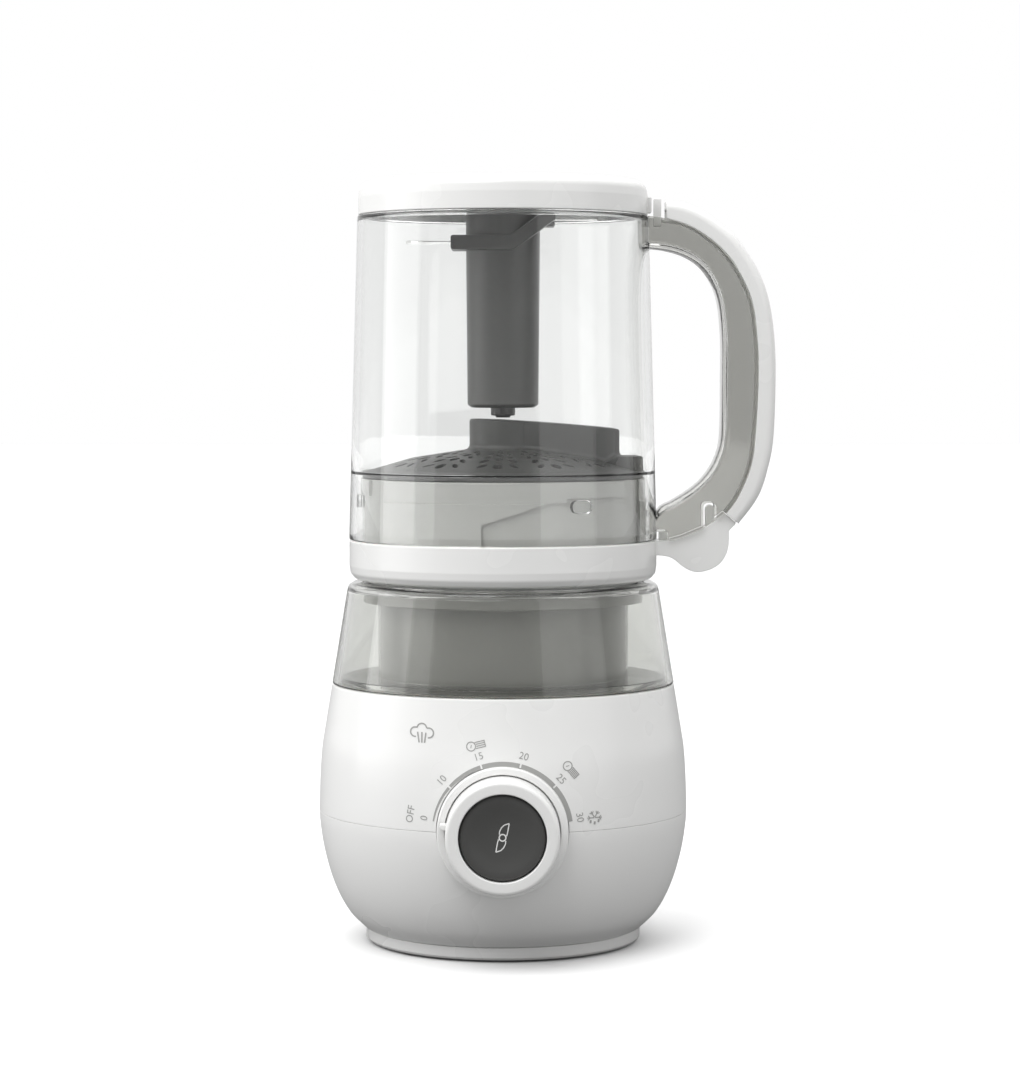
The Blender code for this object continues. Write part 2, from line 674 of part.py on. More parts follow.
LUG = (
    (-4.6, 181.4), (-3.1, 179.9), (3.1, 179.9), (4.6, 181.4), (4.6, 183.8), (3.1, 185.3),
    (-3.1, 185.3), (-4.6, 183.8),
)


def jar(body):
    glass = turned("glass", [
        (6.0, JAR_TOP), (56.2, JAR_TOP), (57.0, 305.8), (57.0, JAR_SHOULDER),
        (JAR_R_HIGH, JAR_SHOULDER), (JAR_R_LOW, 170), (JAR_R_LOW, JAR_LOW), (61.4, JAR_LOW),
        (JAR_BORE, 170), (JAR_BORE, 194.6), (60.1, 195.4), (57.6, JAR_SHOULDER - 1), (54.4, 302.2), (54.4, 304.0),
        (6.0, 304.0),
    ], BIG)
    for i in range(3):
        join(glass, turned_slab(
            f"jar_lug_{i}", LUG, -62.2, -58.6, LUG_ANGLE + math.pi / 2 + 2 * math.pi * i / 3,
        ))
    part(glass, "jar", "clear", body)
    cap = turned("cap", [
        (23.0, CAP_TOP), (55.2, CAP_TOP), (57.8, 313.9), (59.2, 312.2), (CAP_R, 310.0),
        (CAP_R, CAP_LOW), (57.5, CAP_LOW), (57.5, 309.5), (55.5, 311.8), (25.6, 311.8),
        (25.6, 307.0), (23.0, 307.0),
    ], BIG)
    join(cap, block("cap_hook", (58.2, -3.5, 302.0), (61.3, 3.5, 308.6)))
    part(cap, "jar_cap", "white", body)
    seal = turned("cap_ring", [(50, 306.9), (50, 311.4), (47.6, 311.4), (47.6, 306.9)], MID)
    part(seal, "cap_seal", "silicone", body)


GRIP_OUTER = (
    (67.1, 306.6), (73.8, 306.0), (81.7, 302.8), (89.6, 297.4), (96.7, 291.1), (105.0, 278.6),
    (109.6, 266.1), (111.9, 251.0), (112.5, 234.0), (111.7, 209.9), (109.6, 197.4),
    (105.4, 184.9), (97.1, 173.6),
)
GRIP_SEAM = (
    (67.1, 299.4), (76.0, 296.6), (85.0, 291.1), (91.7, 284.9), (96.3, 278.6), (102.1, 266.1),
    (104.4, 251.0), (105.0, 234.0), (103.9, 211.0), (102.1, 197.4), (96.9, 184.9),
    (91.6, 177.6),
)
GRIP_INNER = (
    (60.0, 287.4), (67.0, 286.6), (74.2, 284.5), (80.6, 280.6), (85.4, 274.4), (88.8, 265.1),
    (90.3, 251.0), (90.4, 234.0), (90.1, 211.0), (88.4, 202.4), (84.6, 195.0), (78.6, 188.8),
    (70.0, 183.2), (64.6, 180.2), (60.0, 172.0),
)


def lid_room(name):
    """The room swept by the lid's arm, its tooth and its end as the jar is twisted."""
    return turned(name, [
        (55, 167.1), (63.0, 167.1), (63.0, 170.7), (68.8, 170.7), (68.8, 167.4), (70.0, 167.4),
        (74.6, 168.7), (79.6, 170.8), (83.2, 172.3), (83.2, 181.4),
        (84.4, 182.5), (87.8, 182.5), (88.7, 181.6), (88.7, 176.0), (92.1, 178.8), (97.4, 174.3),
        (99, 150), (55, 150),
    ], 96)


def handle(body, rod_body):
    inner = smooth_line(GRIP_INNER, 2)
    seam = smooth_line(GRIP_SEAM, 2)
    outer = smooth_line(GRIP_OUTER, 2)
    half, channel = HANDLE_WIDTH / 2, CHANNEL_WIDTH / 2
    jar_room = turned("jar_room", [
        (0, 160), (JAR_R_LOW + GAP, 160), (JAR_R_LOW + GAP, 170), (JAR_R_HIGH + GAP, 301),
        (JAR_R_HIGH + GAP, 320), (0, 320),
    ], BIG)

    clear = slab("grip", [
        (58, 301.2), (66.5, 301.2), *seam, (80, 165), (58, 165), *inner[::-1],
    ], -half, half, True)
    room = slab("grip_channel", [
        (61.9, 299.0), (66.5, 306.0), *offset_line(seam, 4)[1:-3],
        *offset_line(inner, 2.6)[-10:1:-1], (61.9, 290.2),
    ], -channel, channel, True)
    boolean(clear, room, jar_room, lid_room("lid_room_1"))
    boolean(clear, block("pin_slot", (61.5, -4.2, 292), (66.2, 4.2, 310)))
    part(clear, "handle_grip", "smoky", body)

    cover = slab("cover", [*outer, *offset_line(seam, GAP)[::-1]], -half, half, True)
    groove = slab("cover_groove", [
        (64, 302.5), *offset_line(outer, -3.0)[1:-2], *offset_line(seam, -3)[-3:1:-1],
        (64, 290),
    ], -channel, channel, True)
    boolean(cover, groove, lid_room("lid_room_2"))
    part(cover, "handle_cover", "white", body)

    strip = [(65.7, 298.6), *offset_line(seam, -0.8)[1:-4]]
    rod = slab("rod", [
        *offset_line(strip, ROD_THICK / 2), *offset_line(strip, -ROD_THICK / 2)[::-1],
    ], -ROD_WIDTH / 2, ROD_WIDTH / 2, True)
    part(rod, "push_rod", "grey", rod_body)
    pin = block("pin", (62.3, -3.2, 296.4), (65.3, 3.2, 308.0))
    part(pin, "interlock_pin", "white", rod_body)


def blade_unit(spin):
    column = turned("column", [
        (0, COLUMN_LOW + 3), (5.6, COLUMN_LOW + 3), (5.6, COLUMN_LOW), (12.6, COLUMN_LOW),
        (14.2, COLUMN_LOW + 1), (14.8, COLUMN_LOW + 3), (15.4, COLUMN_TOP), (3.4, COLUMN_TOP),
        (3.4, 284), (0, 284),
    ], MID)
    join(
        column,
        block("low_holder", (-21.3, -5, 286.3), (-10, 5, 292.3)),
        block("high_holder", (10, -5, 296.0), (21.4, 5, 302.2)),
        slab("web", [
            (-21.3, 286.3), (4.4, 286.3), (21.4, 298.6), (21.4, 302.2), (16.6, 302.2),
            (3.2, 292.3), (-21.3, 292.3),
        ], -16.6, -8.2, True),
    )
    boolean(
        column,
        block("low_slot", (-24, -8, 288.9), (-13, 8, 290.9)),
        block("high_slot", (13, -8, 298.3), (24, 8, 300.3)),
    )
    part(column, "blade_column", "dark", spin)
    low = slab("low", [
        (-13.6, 5), (-13.6, -6.5), (-28, -7.5), (-37, -4), (-40.9, 3), (-34, 4.5), (-24, 3.5),
    ], 289.2, 290.6)
    part(low, "lower_blade", "steel", spin)
    high = slab("high", [
        (13.6, -5), (13.6, 6.5), (28, 7.5), (36, 4), (40.0, -3), (34, -4.5), (24, -3.5),
    ], 298.6, 300.0)
    part(high, "upper_blade", "steel", spin)
    tip = turned("tip", [
        (0, TIP_LOW), (2.9, TIP_LOW), (3.2, 218.2), (5.0, 218.4), (5.2, 224.2), (0, 224.2),
    ], MID)
    part(tip, "column_tip", "dark", spin)
    shaft = drum("shaft", SHAFT_R, (0, 0, 285), (0, 0, 309.6), SMALL)
    part(shaft, "blade_shaft", "steel", spin)
    driven = turned("driven", [
        (0, 310.6), (9.9, 310.6), (9.9, 314.0), (12.2, 314.0), (12.2, 308.0), (3.4, 308.0),
        (3.4, 309.9), (0, 309.9),
    ], SMALL)
    for i, (x, y) in enumerate(around(6, 10.2, math.pi / 6)):
        join(driven, drum(f"driven_tooth_{i}", 1.3, (x, y, 310), (x, y, 313.6), 8))
    part(driven, "driven_coupling", "dark", spin)


def shaft_seal(body):
    ring = turned("shaft_ring", [(5.7, 303.9), (5.7, 307.6), (3.5, 307.6), (3.5, 303.9)], SMALL)
    part(ring, "shaft_seal", "silicone", body)


def build():
    global PARTS, TOOLS
    for obj in list(bpy.data.objects):
        bpy.data.objects.remove(obj)
    PARTS = new_collection("baby_food_maker")
    TOOLS = new_collection("cutters", True)

    drive = frame("drive_axis")
    knob_axis = frame("knob_axis", (0, -KNOB_BACK, KNOB_Z))
    button_axis = frame("button_axis", (0, -BUTTON_FRONT, KNOB_Z))
    lid_body = frame("jar_lift_axis")
    jar_body = frame("jar_twist_axis")
    rod_body = frame("rod_axis", (86, 0, 184))
    blades = frame("blade_axis")

    base_plate()
    lower_housing()
    upper_housing()
    tank()
    filler_flap()
    steam_parts()
    drive_parts(drive)
    electric_parts()
    knob_parts(knob_axis, button_axis)
    jar_lid(lid_body)
    sieve(lid_body)
    jar(jar_body)
    handle(jar_body, rod_body)
    blade_unit(blades)
    shaft_seal(jar_body)


build()
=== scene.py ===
"""Looks of the baby food maker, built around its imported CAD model.

Sizes are in millimetres, in the CAD's own frame: the origin is in the plane that the feet
stand on, the handle is at +X and the knob at -Y. Each visible CAD solid gets a smooth piece
that stands for it, and each hidden one a better material.
"""

import json
import math
from bisect import bisect_right

import bmesh
import bpy
from mathutils import Euler, Matrix, Vector


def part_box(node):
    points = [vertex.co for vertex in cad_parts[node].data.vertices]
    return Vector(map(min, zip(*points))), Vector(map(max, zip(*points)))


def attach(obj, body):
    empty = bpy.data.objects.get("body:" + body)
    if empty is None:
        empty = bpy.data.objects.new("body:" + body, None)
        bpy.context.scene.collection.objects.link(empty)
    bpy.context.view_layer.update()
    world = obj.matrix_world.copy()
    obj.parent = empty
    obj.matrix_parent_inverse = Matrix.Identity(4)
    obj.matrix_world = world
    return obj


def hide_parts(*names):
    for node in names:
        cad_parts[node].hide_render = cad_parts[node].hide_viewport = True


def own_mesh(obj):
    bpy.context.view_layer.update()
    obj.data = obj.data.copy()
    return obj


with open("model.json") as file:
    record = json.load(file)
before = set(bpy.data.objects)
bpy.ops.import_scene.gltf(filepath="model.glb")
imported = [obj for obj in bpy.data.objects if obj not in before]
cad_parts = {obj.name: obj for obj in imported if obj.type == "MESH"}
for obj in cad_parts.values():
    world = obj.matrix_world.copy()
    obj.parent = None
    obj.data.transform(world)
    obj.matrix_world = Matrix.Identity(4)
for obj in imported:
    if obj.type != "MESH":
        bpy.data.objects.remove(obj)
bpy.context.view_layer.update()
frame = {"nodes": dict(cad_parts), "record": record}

MM = 0.001
FINE, MEDIUM, COARSE = 160, 96, 48
FRONT = (math.pi / 2, 0, 0)
REAR = (-math.pi / 2, 0, 0)
SHARP = math.radians(28)
BODY_OF = {n: b for b, nodes in frame["record"]["behaviour"]["bodies"].items() for n in nodes}
SLOT_OF = {s["node"]: s["material_slot"] for s in frame["record"]["subparts"]}


def corner(node, end, axis):
    """One coordinate of a CAD node's box, in millimetres."""
    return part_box(node)[end]["XYZ".index(axis)] / MM


# ---------------------------------------------------------------- materials


def new_material(name):
    mat = bpy.data.materials.new(name)
    mat.use_nodes = True
    tree = mat.node_tree
    return mat, tree, tree.nodes["Principled BSDF"], tree.nodes["Material Output"]


def noise(tree, scale, detail=3.0, stretch=None):
    """A noise pattern over the piece's own coordinates; scale counts cells in a metre."""
    place = tree.nodes.new("ShaderNodeTexCoord")
    source = place.outputs["Object"]
    if stretch:
        mapping = tree.nodes.new("ShaderNodeMapping")
        mapping.inputs["Scale"].default_value = stretch
        tree.links.new(source, mapping.inputs["Vector"])
        source = mapping.outputs["Vector"]
    pattern = tree.nodes.new("ShaderNodeTexNoise")
    pattern.inputs["Scale"].default_value = scale
    pattern.inputs["Detail"].default_value = detail
    tree.links.new(source, pattern.inputs["Vector"])
    return pattern.outputs["Fac"]


def ramp(tree, source, low, high, start=0.3, end=0.7):
    """Maps a pattern onto a range between two colours or two numbers."""
    node = tree.nodes.new("ShaderNodeValToRGB")
    node.color_ramp.elements[0].position = start
    node.color_ramp.elements[1].position = end
    for element, value in zip(node.color_ramp.elements, (low, high)):
        value = (value,) * 3 if isinstance(value, (int, float)) else value
        element.color = (*value, 1)
    tree.links.new(source, node.inputs["Fac"])
    return node.outputs["Color"]


def bump(tree, shader, source, strength, depth):
    node = tree.nodes.new("ShaderNodeBump")
    node.inputs["Strength"].default_value = strength
    node.inputs["Distance"].default_value = depth
    tree.links.new(source, node.inputs["Height"])
    tree.links.new(node.outputs["Normal"], shader.inputs["Normal"])


def moulded(name, colour, rough, spread=0.04, grain=2600, depth=0.000004, strength=0.12, **sockets):
    """Moulded plastic or rubber: faint flow marks, uneven gloss and a fine eroded grain."""
    mat, tree, shader, _ = new_material(name)
    low = tuple(c * (1 - spread) for c in colour)
    high = tuple(min(c * (1 + spread), 1) for c in colour)
    tree.links.new(ramp(tree, noise(tree, 11, 2), low, high), shader.inputs["Base Color"])
    gloss = ramp(tree, noise(tree, 26, 2), rough[0], rough[1])
    tree.links.new(gloss, shader.inputs["Roughness"])
    bump(tree, shader, noise(tree, grain, 2), strength, depth)
    for socket, value in sockets.items():
        shader.inputs[socket.replace("_", " ")].default_value = value
    return mat


def metal(name, colour, rough, stretch, grain=900):
    """Brushed or drawn metal, whose marks run along one direction."""
    mat, tree, shader, _ = new_material(name)
    low = tuple(c * 0.88 for c in colour)
    marks = noise(tree, grain, 3, stretch)
    tree.links.new(ramp(tree, marks, low, colour), shader.inputs["Base Color"])
    tree.links.new(ramp(tree, marks, rough[0], rough[1]), shader.inputs["Roughness"])
    bump(tree, shader, marks, 0.3, 0.00002)
    shader.inputs["Metallic"].default_value = 1.0
    return mat


def see_through(name, colour, rough, shade, ior=1.49):
    """Clear plastic with faint flow lines, which lets the lamps' light through."""
    mat, tree, shader, out = new_material(name)
    low = tuple(c * 0.97 for c in colour)
    flow = noise(tree, 22, 3, (1, 1, 0.35))
    tree.links.new(ramp(tree, flow, low, colour), shader.inputs["Base Color"])
    haze = ramp(tree, noise(tree, 160, 4), rough[0], rough[1])
    tree.links.new(haze, shader.inputs["Roughness"])
    bump(tree, shader, noise(tree, 60, 2), 0.05, 0.00015)
    shader.inputs["Transmission Weight"].default_value = 1.0
    shader.inputs["IOR"].default_value = ior
    clear = tree.nodes.new("ShaderNodeBsdfTransparent")
    clear.inputs["Color"].default_value = (*shade, 1)
    path = tree.nodes.new("ShaderNodeLightPath")
    mix = tree.nodes.new("ShaderNodeMixShader")
    tree.links.new(path.outputs["Is Shadow Ray"], mix.inputs["Fac"])
    tree.links.new(shader.outputs["BSDF"], mix.inputs[1])
    tree.links.new(clear.outputs["BSDF"], mix.inputs[2])
    tree.links.new(mix.outputs["Shader"], out.inputs["Surface"])
    return mat


def circuit_board(name):
    """Green solder mask with a grid of tracks and a few pale pads."""
    mat, tree, shader, _ = new_material(name)
    place = tree.nodes.new("ShaderNodeTexCoord")
    brick = tree.nodes.new("ShaderNodeTexBrick")
    brick.inputs["Scale"].default_value = 260
    brick.inputs["Mortar Size"].default_value = 0.06
    brick.inputs["Color1"].default_value = (0.02, 0.16, 0.06, 1)
    brick.inputs["Color2"].default_value = (0.03, 0.20, 0.08, 1)
    brick.inputs["Mortar"].default_value = (0.08, 0.30, 0.12, 1)
    tree.links.new(place.outputs["Object"], brick.inputs["Vector"])
    tree.links.new(brick.outputs["Color"], shader.inputs["Base Color"])
    tree.links.new(ramp(tree, noise(tree, 400, 2), 0.3, 0.5), shader.inputs["Roughness"])
    bump(tree, shader, brick.outputs["Fac"], 0.4, 0.0001)
    return mat


def wound_wire(name):
    """Turns of lacquered wire, side by side."""
    mat, tree, shader, _ = new_material(name)
    place = tree.nodes.new("ShaderNodeTexCoord")
    wave = tree.nodes.new("ShaderNodeTexWave")
    wave.bands_direction = "Z"
    wave.inputs["Scale"].default_value = 420
    wave.inputs["Distortion"].default_value = 0.6
    tree.links.new(place.outputs["Object"], wave.inputs["Vector"])
    shade = ramp(tree, wave.outputs["Fac"], (0.35, 0.12, 0.05), (0.78, 0.36, 0.18), 0.1, 0.9)
    tree.links.new(shade, shader.inputs["Base Color"])
    tree.links.new(ramp(tree, noise(tree, 300, 2), 0.25, 0.4), shader.inputs["Roughness"])
    bump(tree, shader, wave.outputs["Fac"], 0.6, 0.0002)
    shader.inputs["Metallic"].default_value = 1.0
    return mat


WHITE = moulded("white_satin", (0.84, 0.84, 0.83), (0.27, 0.29), 0.003, Coat_Weight=0.25,
                Coat_Roughness=0.12)
LID_WHITE = moulded("lid_white_satin", (0.84, 0.84, 0.83), (0.26, 0.28), 0.003,
                    Coat_Weight=0.25, Coat_Roughness=0.12)
# The lid's collar is the same white plastic as the lid. This darker grey copy is painted shade, for
# the shadow and dark reflections the collar sits in behind the jar.
COLLAR_PAINTED_SHADE = moulded("lid_collar_painted_shade", (0.31, 0.31, 0.296), (0.18, 0.24), 0.01, Coat_Weight=0.4,
                 Coat_Roughness=0.08)
WELL = moulded("well_grey", (0.27, 0.27, 0.26), (0.20, 0.26), 0.02, Coat_Weight=0.6,
               Coat_Roughness=0.08)
DARK = moulded("dark_column", (0.054, 0.054, 0.052), (0.34, 0.42), 0.08, 1400)
SIEVE = moulded("dark_sieve", (0.042, 0.042, 0.040), (0.38, 0.46), 0.08, 1400)
BUTTON = moulded("button_dark", (0.062, 0.062, 0.060), (0.26, 0.34), 0.06, 2200)
ROD = moulded("rod_grey", (0.84, 0.84, 0.83), (0.36, 0.44), 0.02)
PRINT = moulded("print_grey", (0.36, 0.36, 0.35), (0.45, 0.55), 0.05, 3000)
ICON = moulded("icon_white", (0.82, 0.82, 0.81), (0.4, 0.5), 0.02, 3000)
GREY = moulded("inner_grey", (0.42, 0.42, 0.41), (0.4, 0.5), 0.05)
BLACK = moulded("inner_dark", (0.045, 0.045, 0.045), (0.4, 0.52), 0.1)
RUBBER = moulded("rubber", (0.09, 0.09, 0.09), (0.6, 0.78), 0.12, 900, 0.00004, 0.3)
SILICONE = moulded("silicone", (0.62, 0.62, 0.60), (0.42, 0.55), 0.04, 1200,
                   Subsurface_Weight=0.15, Subsurface_Scale=0.002)
JAR_CLEAR = see_through("jar_clear", (0.985, 0.99, 0.985), (0.0, 0.015), (0.93, 0.94, 0.93))
TANK_SMOKY = see_through("tank_smoky", (0.755, 0.76, 0.74), (0.0, 0.03), (0.66, 0.66, 0.64))
GRIP_SMOKY = see_through("grip_smoky", (0.62, 0.62, 0.60), (0.02, 0.06), (0.55, 0.55, 0.53))
BLADE_STEEL = metal("blade_steel", (0.74, 0.74, 0.73), (0.14, 0.26), (1, 14, 1))
STEEL = metal("plain_steel", (0.62, 0.62, 0.62), (0.25, 0.38), (1, 1, 9))
CAST = metal("aluminium", (0.72, 0.72, 0.73), (0.34, 0.5), (1, 1, 1), 500)
BOARD = circuit_board("board_green")
COPPER = wound_wire("winding_copper")

BY_SLOT = {
    "body_white": WHITE, "tank_smoky": TANK_SMOKY, "lid_white": LID_WHITE,
    "jar_clear": JAR_CLEAR, "grip_smoky": GRIP_SMOKY, "handle_white": LID_WHITE,
    "knob_white": WHITE, "button_dark": BUTTON, "blade_dark": DARK, "sieve_dark": SIEVE,
    "blade_steel": BLADE_STEEL, "seal_silicone": SILICONE, "foot_rubber": RUBBER,
    "screw_steel": STEEL, "pot_aluminium": CAST, "winding_copper": COPPER,
    "board_green": BOARD, "inner_grey": GREY, "inner_dark": BLACK,
}


# ---------------------------------------------------------------- mesh tools


def mesh_object(name, verts, faces, at=(0, 0, 0), turn=(0, 0, 0)):
    """A closed mesh from points in millimetres, with its normals facing out."""
    mesh = bpy.data.meshes.new(name)
    mesh.from_pydata([Vector(v) * MM for v in verts], [], faces)
    shape = bmesh.new()
    shape.from_mesh(mesh)
    place = Matrix.Translation(Vector(at) * MM) @ Euler(turn).to_matrix().to_4x4()
    bmesh.ops.transform(shape, matrix=place, verts=shape.verts)
    bmesh.ops.recalc_face_normals(shape, faces=shape.faces)
    shape.to_mesh(mesh)
    shape.free()
    obj = bpy.data.objects.new(name, mesh)
    bpy.context.scene.collection.objects.link(obj)
    return obj


def rounded(points, steps=5):
    """Replaces each corner of a loop that gives a radius, as a third number, with an arc."""
    line = []
    points = [tuple(point) for point in points]
    for i, point in enumerate(points):
        here = Vector(point[:2])
        if len(point) < 3:
            line.append(tuple(here))
            continue
        before, after = Vector(points[i - 1][:2]), Vector(points[(i + 1) % len(points)][:2])
        back, ahead = (before - here), (after - here)
        half = back.angle(ahead) / 2
        reach = min(point[2] / math.tan(half), back.length * 0.48, ahead.length * 0.48)
        back.normalize()
        ahead.normalize()
        centre = here + (back + ahead).normalized() * (reach / math.cos(half))
        first, last = here + back * reach - centre, here + ahead * reach - centre
        a, b = math.atan2(first.y, first.x), math.atan2(last.y, last.x)
        sweep = (b - a + math.pi) % (2 * math.pi) - math.pi
        for k in range(steps + 1):
            angle = a + sweep * k / steps
            line.append((
                centre.x + first.length * math.cos(angle),
                centre.y + first.length * math.sin(angle),
            ))
    return line


def lathe(name, profile, steps=FINE, at=(0, 0, 0), turn=(0, 0, 0), arc=5):
    """A profile of (radius, height) points turned about the Z axis, then put in place.

    A profile that starts and ends on the axis is closed by it; any other is a loop.
    """
    points = rounded(profile, arc)
    on_axis = min(r for r, _ in points) < 1e-6
    verts, rings = [], []
    for r, z in points:
        if r < 1e-6:
            rings.append([len(verts)] * steps)
            verts.append((0, 0, z))
            continue
        rings.append(list(range(len(verts), len(verts) + steps)))
        verts += [
            (r * math.cos(2 * math.pi * k / steps), r * math.sin(2 * math.pi * k / steps), z)
            for k in range(steps)
        ]
    pairs = list(zip(rings, rings[1:])) + ([] if on_axis else [(rings[-1], rings[0])])
    faces = []
    for a, b in pairs:
        for k in range(steps):
            n = (k + 1) % steps
            face = list(dict.fromkeys((a[k], a[n], b[n], b[k])))
            if len(face) > 2:
                faces.append(face)
    return mesh_object(name, verts, faces, at, turn)


def cylinder(name, radius, start, end, steps=COARSE):
    """A plain cylinder between two points, as a cutting tool or a base for more."""
    start, end = Vector(start), Vector(end)
    length = (end - start).length
    turn = (end - start).to_track_quat("Z", "Y").to_euler()
    profile = [(0, 0), (radius, 0), (radius, length), (0, length)]
    return lathe(name, profile, steps, start, turn)


def extruded(name, outline, low, high, upright=False, soften=0.0, steps=3):
    """A flat outline given a thickness along Z, or along Y when upright, with soft edges."""
    shape = bmesh.new()
    ring = [
        shape.verts.new((x * MM, low * MM, y * MM) if upright else (x * MM, y * MM, low * MM))
        for x, y in outline
    ]
    face = shape.faces.new(ring)
    along = (0, (high - low) * MM, 0) if upright else (0, 0, (high - low) * MM)
    moved = bmesh.ops.extrude_face_region(shape, geom=[face])["geom"]
    bmesh.ops.translate(
        shape, vec=along, verts=[v for v in moved if isinstance(v, bmesh.types.BMVert)]
    )
    if soften:
        axis = 1 if upright else 2
        rims = [e for e in shape.edges if abs(e.verts[0].co[axis] - e.verts[1].co[axis]) < 1e-7]
        bmesh.ops.bevel(
            shape, geom=rims, offset=soften * MM, segments=steps, profile=0.5,
            affect="EDGES", clamp_overlap=True,
        )
    bmesh.ops.recalc_face_normals(shape, faces=shape.faces)
    mesh = bpy.data.meshes.new(name)
    shape.to_mesh(mesh)
    shape.free()
    obj = bpy.data.objects.new(name, mesh)
    bpy.context.scene.collection.objects.link(obj)
    return obj


def box(name, low, high, soften=0.0):
    (x0, y0, z0), (x1, y1, z1) = low, high
    return extruded(name, [(x0, y0), (x1, y0), (x1, y1), (x0, y1)], z0, z1, soften=soften)


def settle(obj):
    """Applies an object's modifiers."""
    bpy.context.view_layer.update()
    graph = bpy.context.evaluated_depsgraph_get()
    mesh = bpy.data.meshes.new_from_object(obj.evaluated_get(graph))
    obj.modifiers.clear()
    obj.data = mesh
    return obj


def boolean(obj, *tools, operation="DIFFERENCE", overlapping=False):
    """Cuts the tools out of an object, or adds them to it, and then removes them."""
    for tool in tools:
        step = obj.modifiers.new(tool.name, "BOOLEAN")
        step.operation = operation
        step.object = tool
        step.solver = "EXACT"
        step.use_self = overlapping
    settle(obj)
    for tool in tools:
        bpy.data.objects.remove(tool)
    return obj


def join(obj, *tools):
    return boolean(obj, *tools, operation="UNION")


def merged(name, objects):
    """Several separate closed shapes as one object."""
    shape = bmesh.new()
    for obj in objects:
        obj.data.transform(obj.matrix_world)
        shape.from_mesh(obj.data)
        bpy.data.objects.remove(obj)
    mesh = bpy.data.meshes.new(name)
    shape.to_mesh(mesh)
    shape.free()
    obj = bpy.data.objects.new(name, mesh)
    bpy.context.scene.collection.objects.link(obj)
    return obj


def smooth(obj, angle=SHARP):
    """Smooth shading, apart from the edges where the surface really turns."""
    shape = bmesh.new()
    shape.from_mesh(obj.data)
    bmesh.ops.remove_doubles(shape, verts=shape.verts, dist=2e-7)
    bmesh.ops.dissolve_degenerate(shape, edges=shape.edges, dist=1e-7)
    for face in shape.faces:
        face.smooth = True
    for edge in shape.edges:
        edge.smooth = len(edge.link_faces) != 2 or edge.calc_face_angle(0) < angle
    shape.to_mesh(obj.data)
    shape.free()
    step = obj.modifiers.new("Even shading", "WEIGHTED_NORMAL")
    step.keep_sharp = True
    return obj


def piece(obj, name, mat, *nodes, rides=None, slot=None):
    """Makes a shape a finished piece, which stands for CAD nodes or rides beside one."""
    obj.name = obj.data.name = name
    if not obj.data.materials:
        obj.data.materials.append(mat)
    smooth(obj)
    home = rides or nodes[0]
    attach(obj, BODY_OF[home])
    if nodes:
        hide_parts(*nodes)
    return obj


def around(count, radius, start=0.0):
    """Points at even angles on a circle about the Z axis."""
    for i in range(count):
        angle = start + 2 * math.pi * i / count
        yield radius * math.cos(angle), radius * math.sin(angle)


# ---------------------------------------------------------------- base

BODY = (
    (57.9, 6.5), (64.2, 12.8), (69.7, 22.8), (73.9, 36.1), (76.2, 50.0),
    (76.4, 60.0), (75.4, 79.5), (73.4, 92.8), (71.0, 107.4),
)
BODY_LIMIT = -corner("upper_housing", 0, "X")
WALL, SEAM_Z = 2.4, 55.0
KNOB_Z = (corner("knob_bezel", 0, "Z") + corner("knob_bezel", 1, "Z")) / 2
STEAM_X = 42.0


def body_radius(height):
    """The body's outside radius at a height, on a smooth curve through its keys."""
    heights = [h for _, h in BODY]
    i = min(max(bisect_right(heights, height), 1), len(BODY) - 1)
    (r0, h0), (r1, h1) = BODY[i - 1], BODY[i]

    def slope(k):
        low, high = max(k - 1, 0), min(k + 1, len(BODY) - 1)
        return (BODY[high][0] - BODY[low][0]) / (BODY[high][1] - BODY[low][1])

    span = h1 - h0
    t = (height - h0) / span
    radius = (
        (2 * t**3 - 3 * t**2 + 1) * r0 + (t**3 - 2 * t**2 + t) * span * slope(i - 1)
        + (3 * t**2 - 2 * t**3) * r1 + (t**3 - t**2) * span * slope(i)
    )
    return min(radius, BODY_LIMIT)


def spaced(start, end, count):
    """Evenly spaced numbers, both ends included."""
    return [start + (end - start) * i / (count - 1) for i in range(count)]


def knob_hole(name):
    return cylinder(name, 26.3, (0, -92, KNOB_Z), (0, -50, KNOB_Z), FINE)


def lower_body():
    top = SEAM_Z - 0.05
    outside = [(body_radius(z), z) for z in spaced(top - 0.7, 7.4, 34)]
    inside = [(body_radius(z) - WALL, z) for z in (13.5, 20, 28, 38, 47)]
    shell = lathe("lower", [
        (body_radius(top) - WALL, top), (body_radius(top), top, 0.15), *outside,
        (57.9, 6.5, 0.25), (52.9, 6.5), (52.9, 8.9), *inside,
    ])
    for x, y in around(4, 43.0, math.pi / 4):
        post = cylinder("post", 4.2, (x, y, 4.8), (x, y, 24))
        join(shell, post)
        boolean(shell, cylinder("post_hole", 1.75, (x, y, 3), (x, y, 15), 24))
    boolean(shell, knob_hole("hole"), cylinder("cord", 6.3, (0, 50, 24), (0, 90, 24)))
    piece(shell, "body_lower", WHITE, "lower_housing")


def upper_body():
    low = SEAM_Z + 0.05
    outside = [(body_radius(z), z) for z in spaced(106.4, low + 0.7, 34)]
    tongue = body_radius(51) - WALL - 0.5
    shell = lathe("upper", [
        (71.0, 107.4, 0.5), *outside, (body_radius(low), low, 0.15), (tongue, low),
        (tongue, 51), (tongue - 1.5, 51), (tongue - 1.5, 57),
        (body_radius(60) - WALL, 60), (body_radius(80) - WALL, 80), (69.5, 102.4), (12, 102.4),
        (12, 104.8, 0.4), (68.6, 104.8, 0.4), (68.6, 107.4, 0.3),
    ])
    boolean(
        shell, knob_hole("hole"),
        cylinder("steam", 4.5, (STEAM_X, 0, 100), (STEAM_X, 0, 106)),
        cylinder("feed", 3.1, (46, 38.6, 100), (46, 38.6, 106)),
    )
    piece(shell, "body_upper", WHITE, "upper_housing")


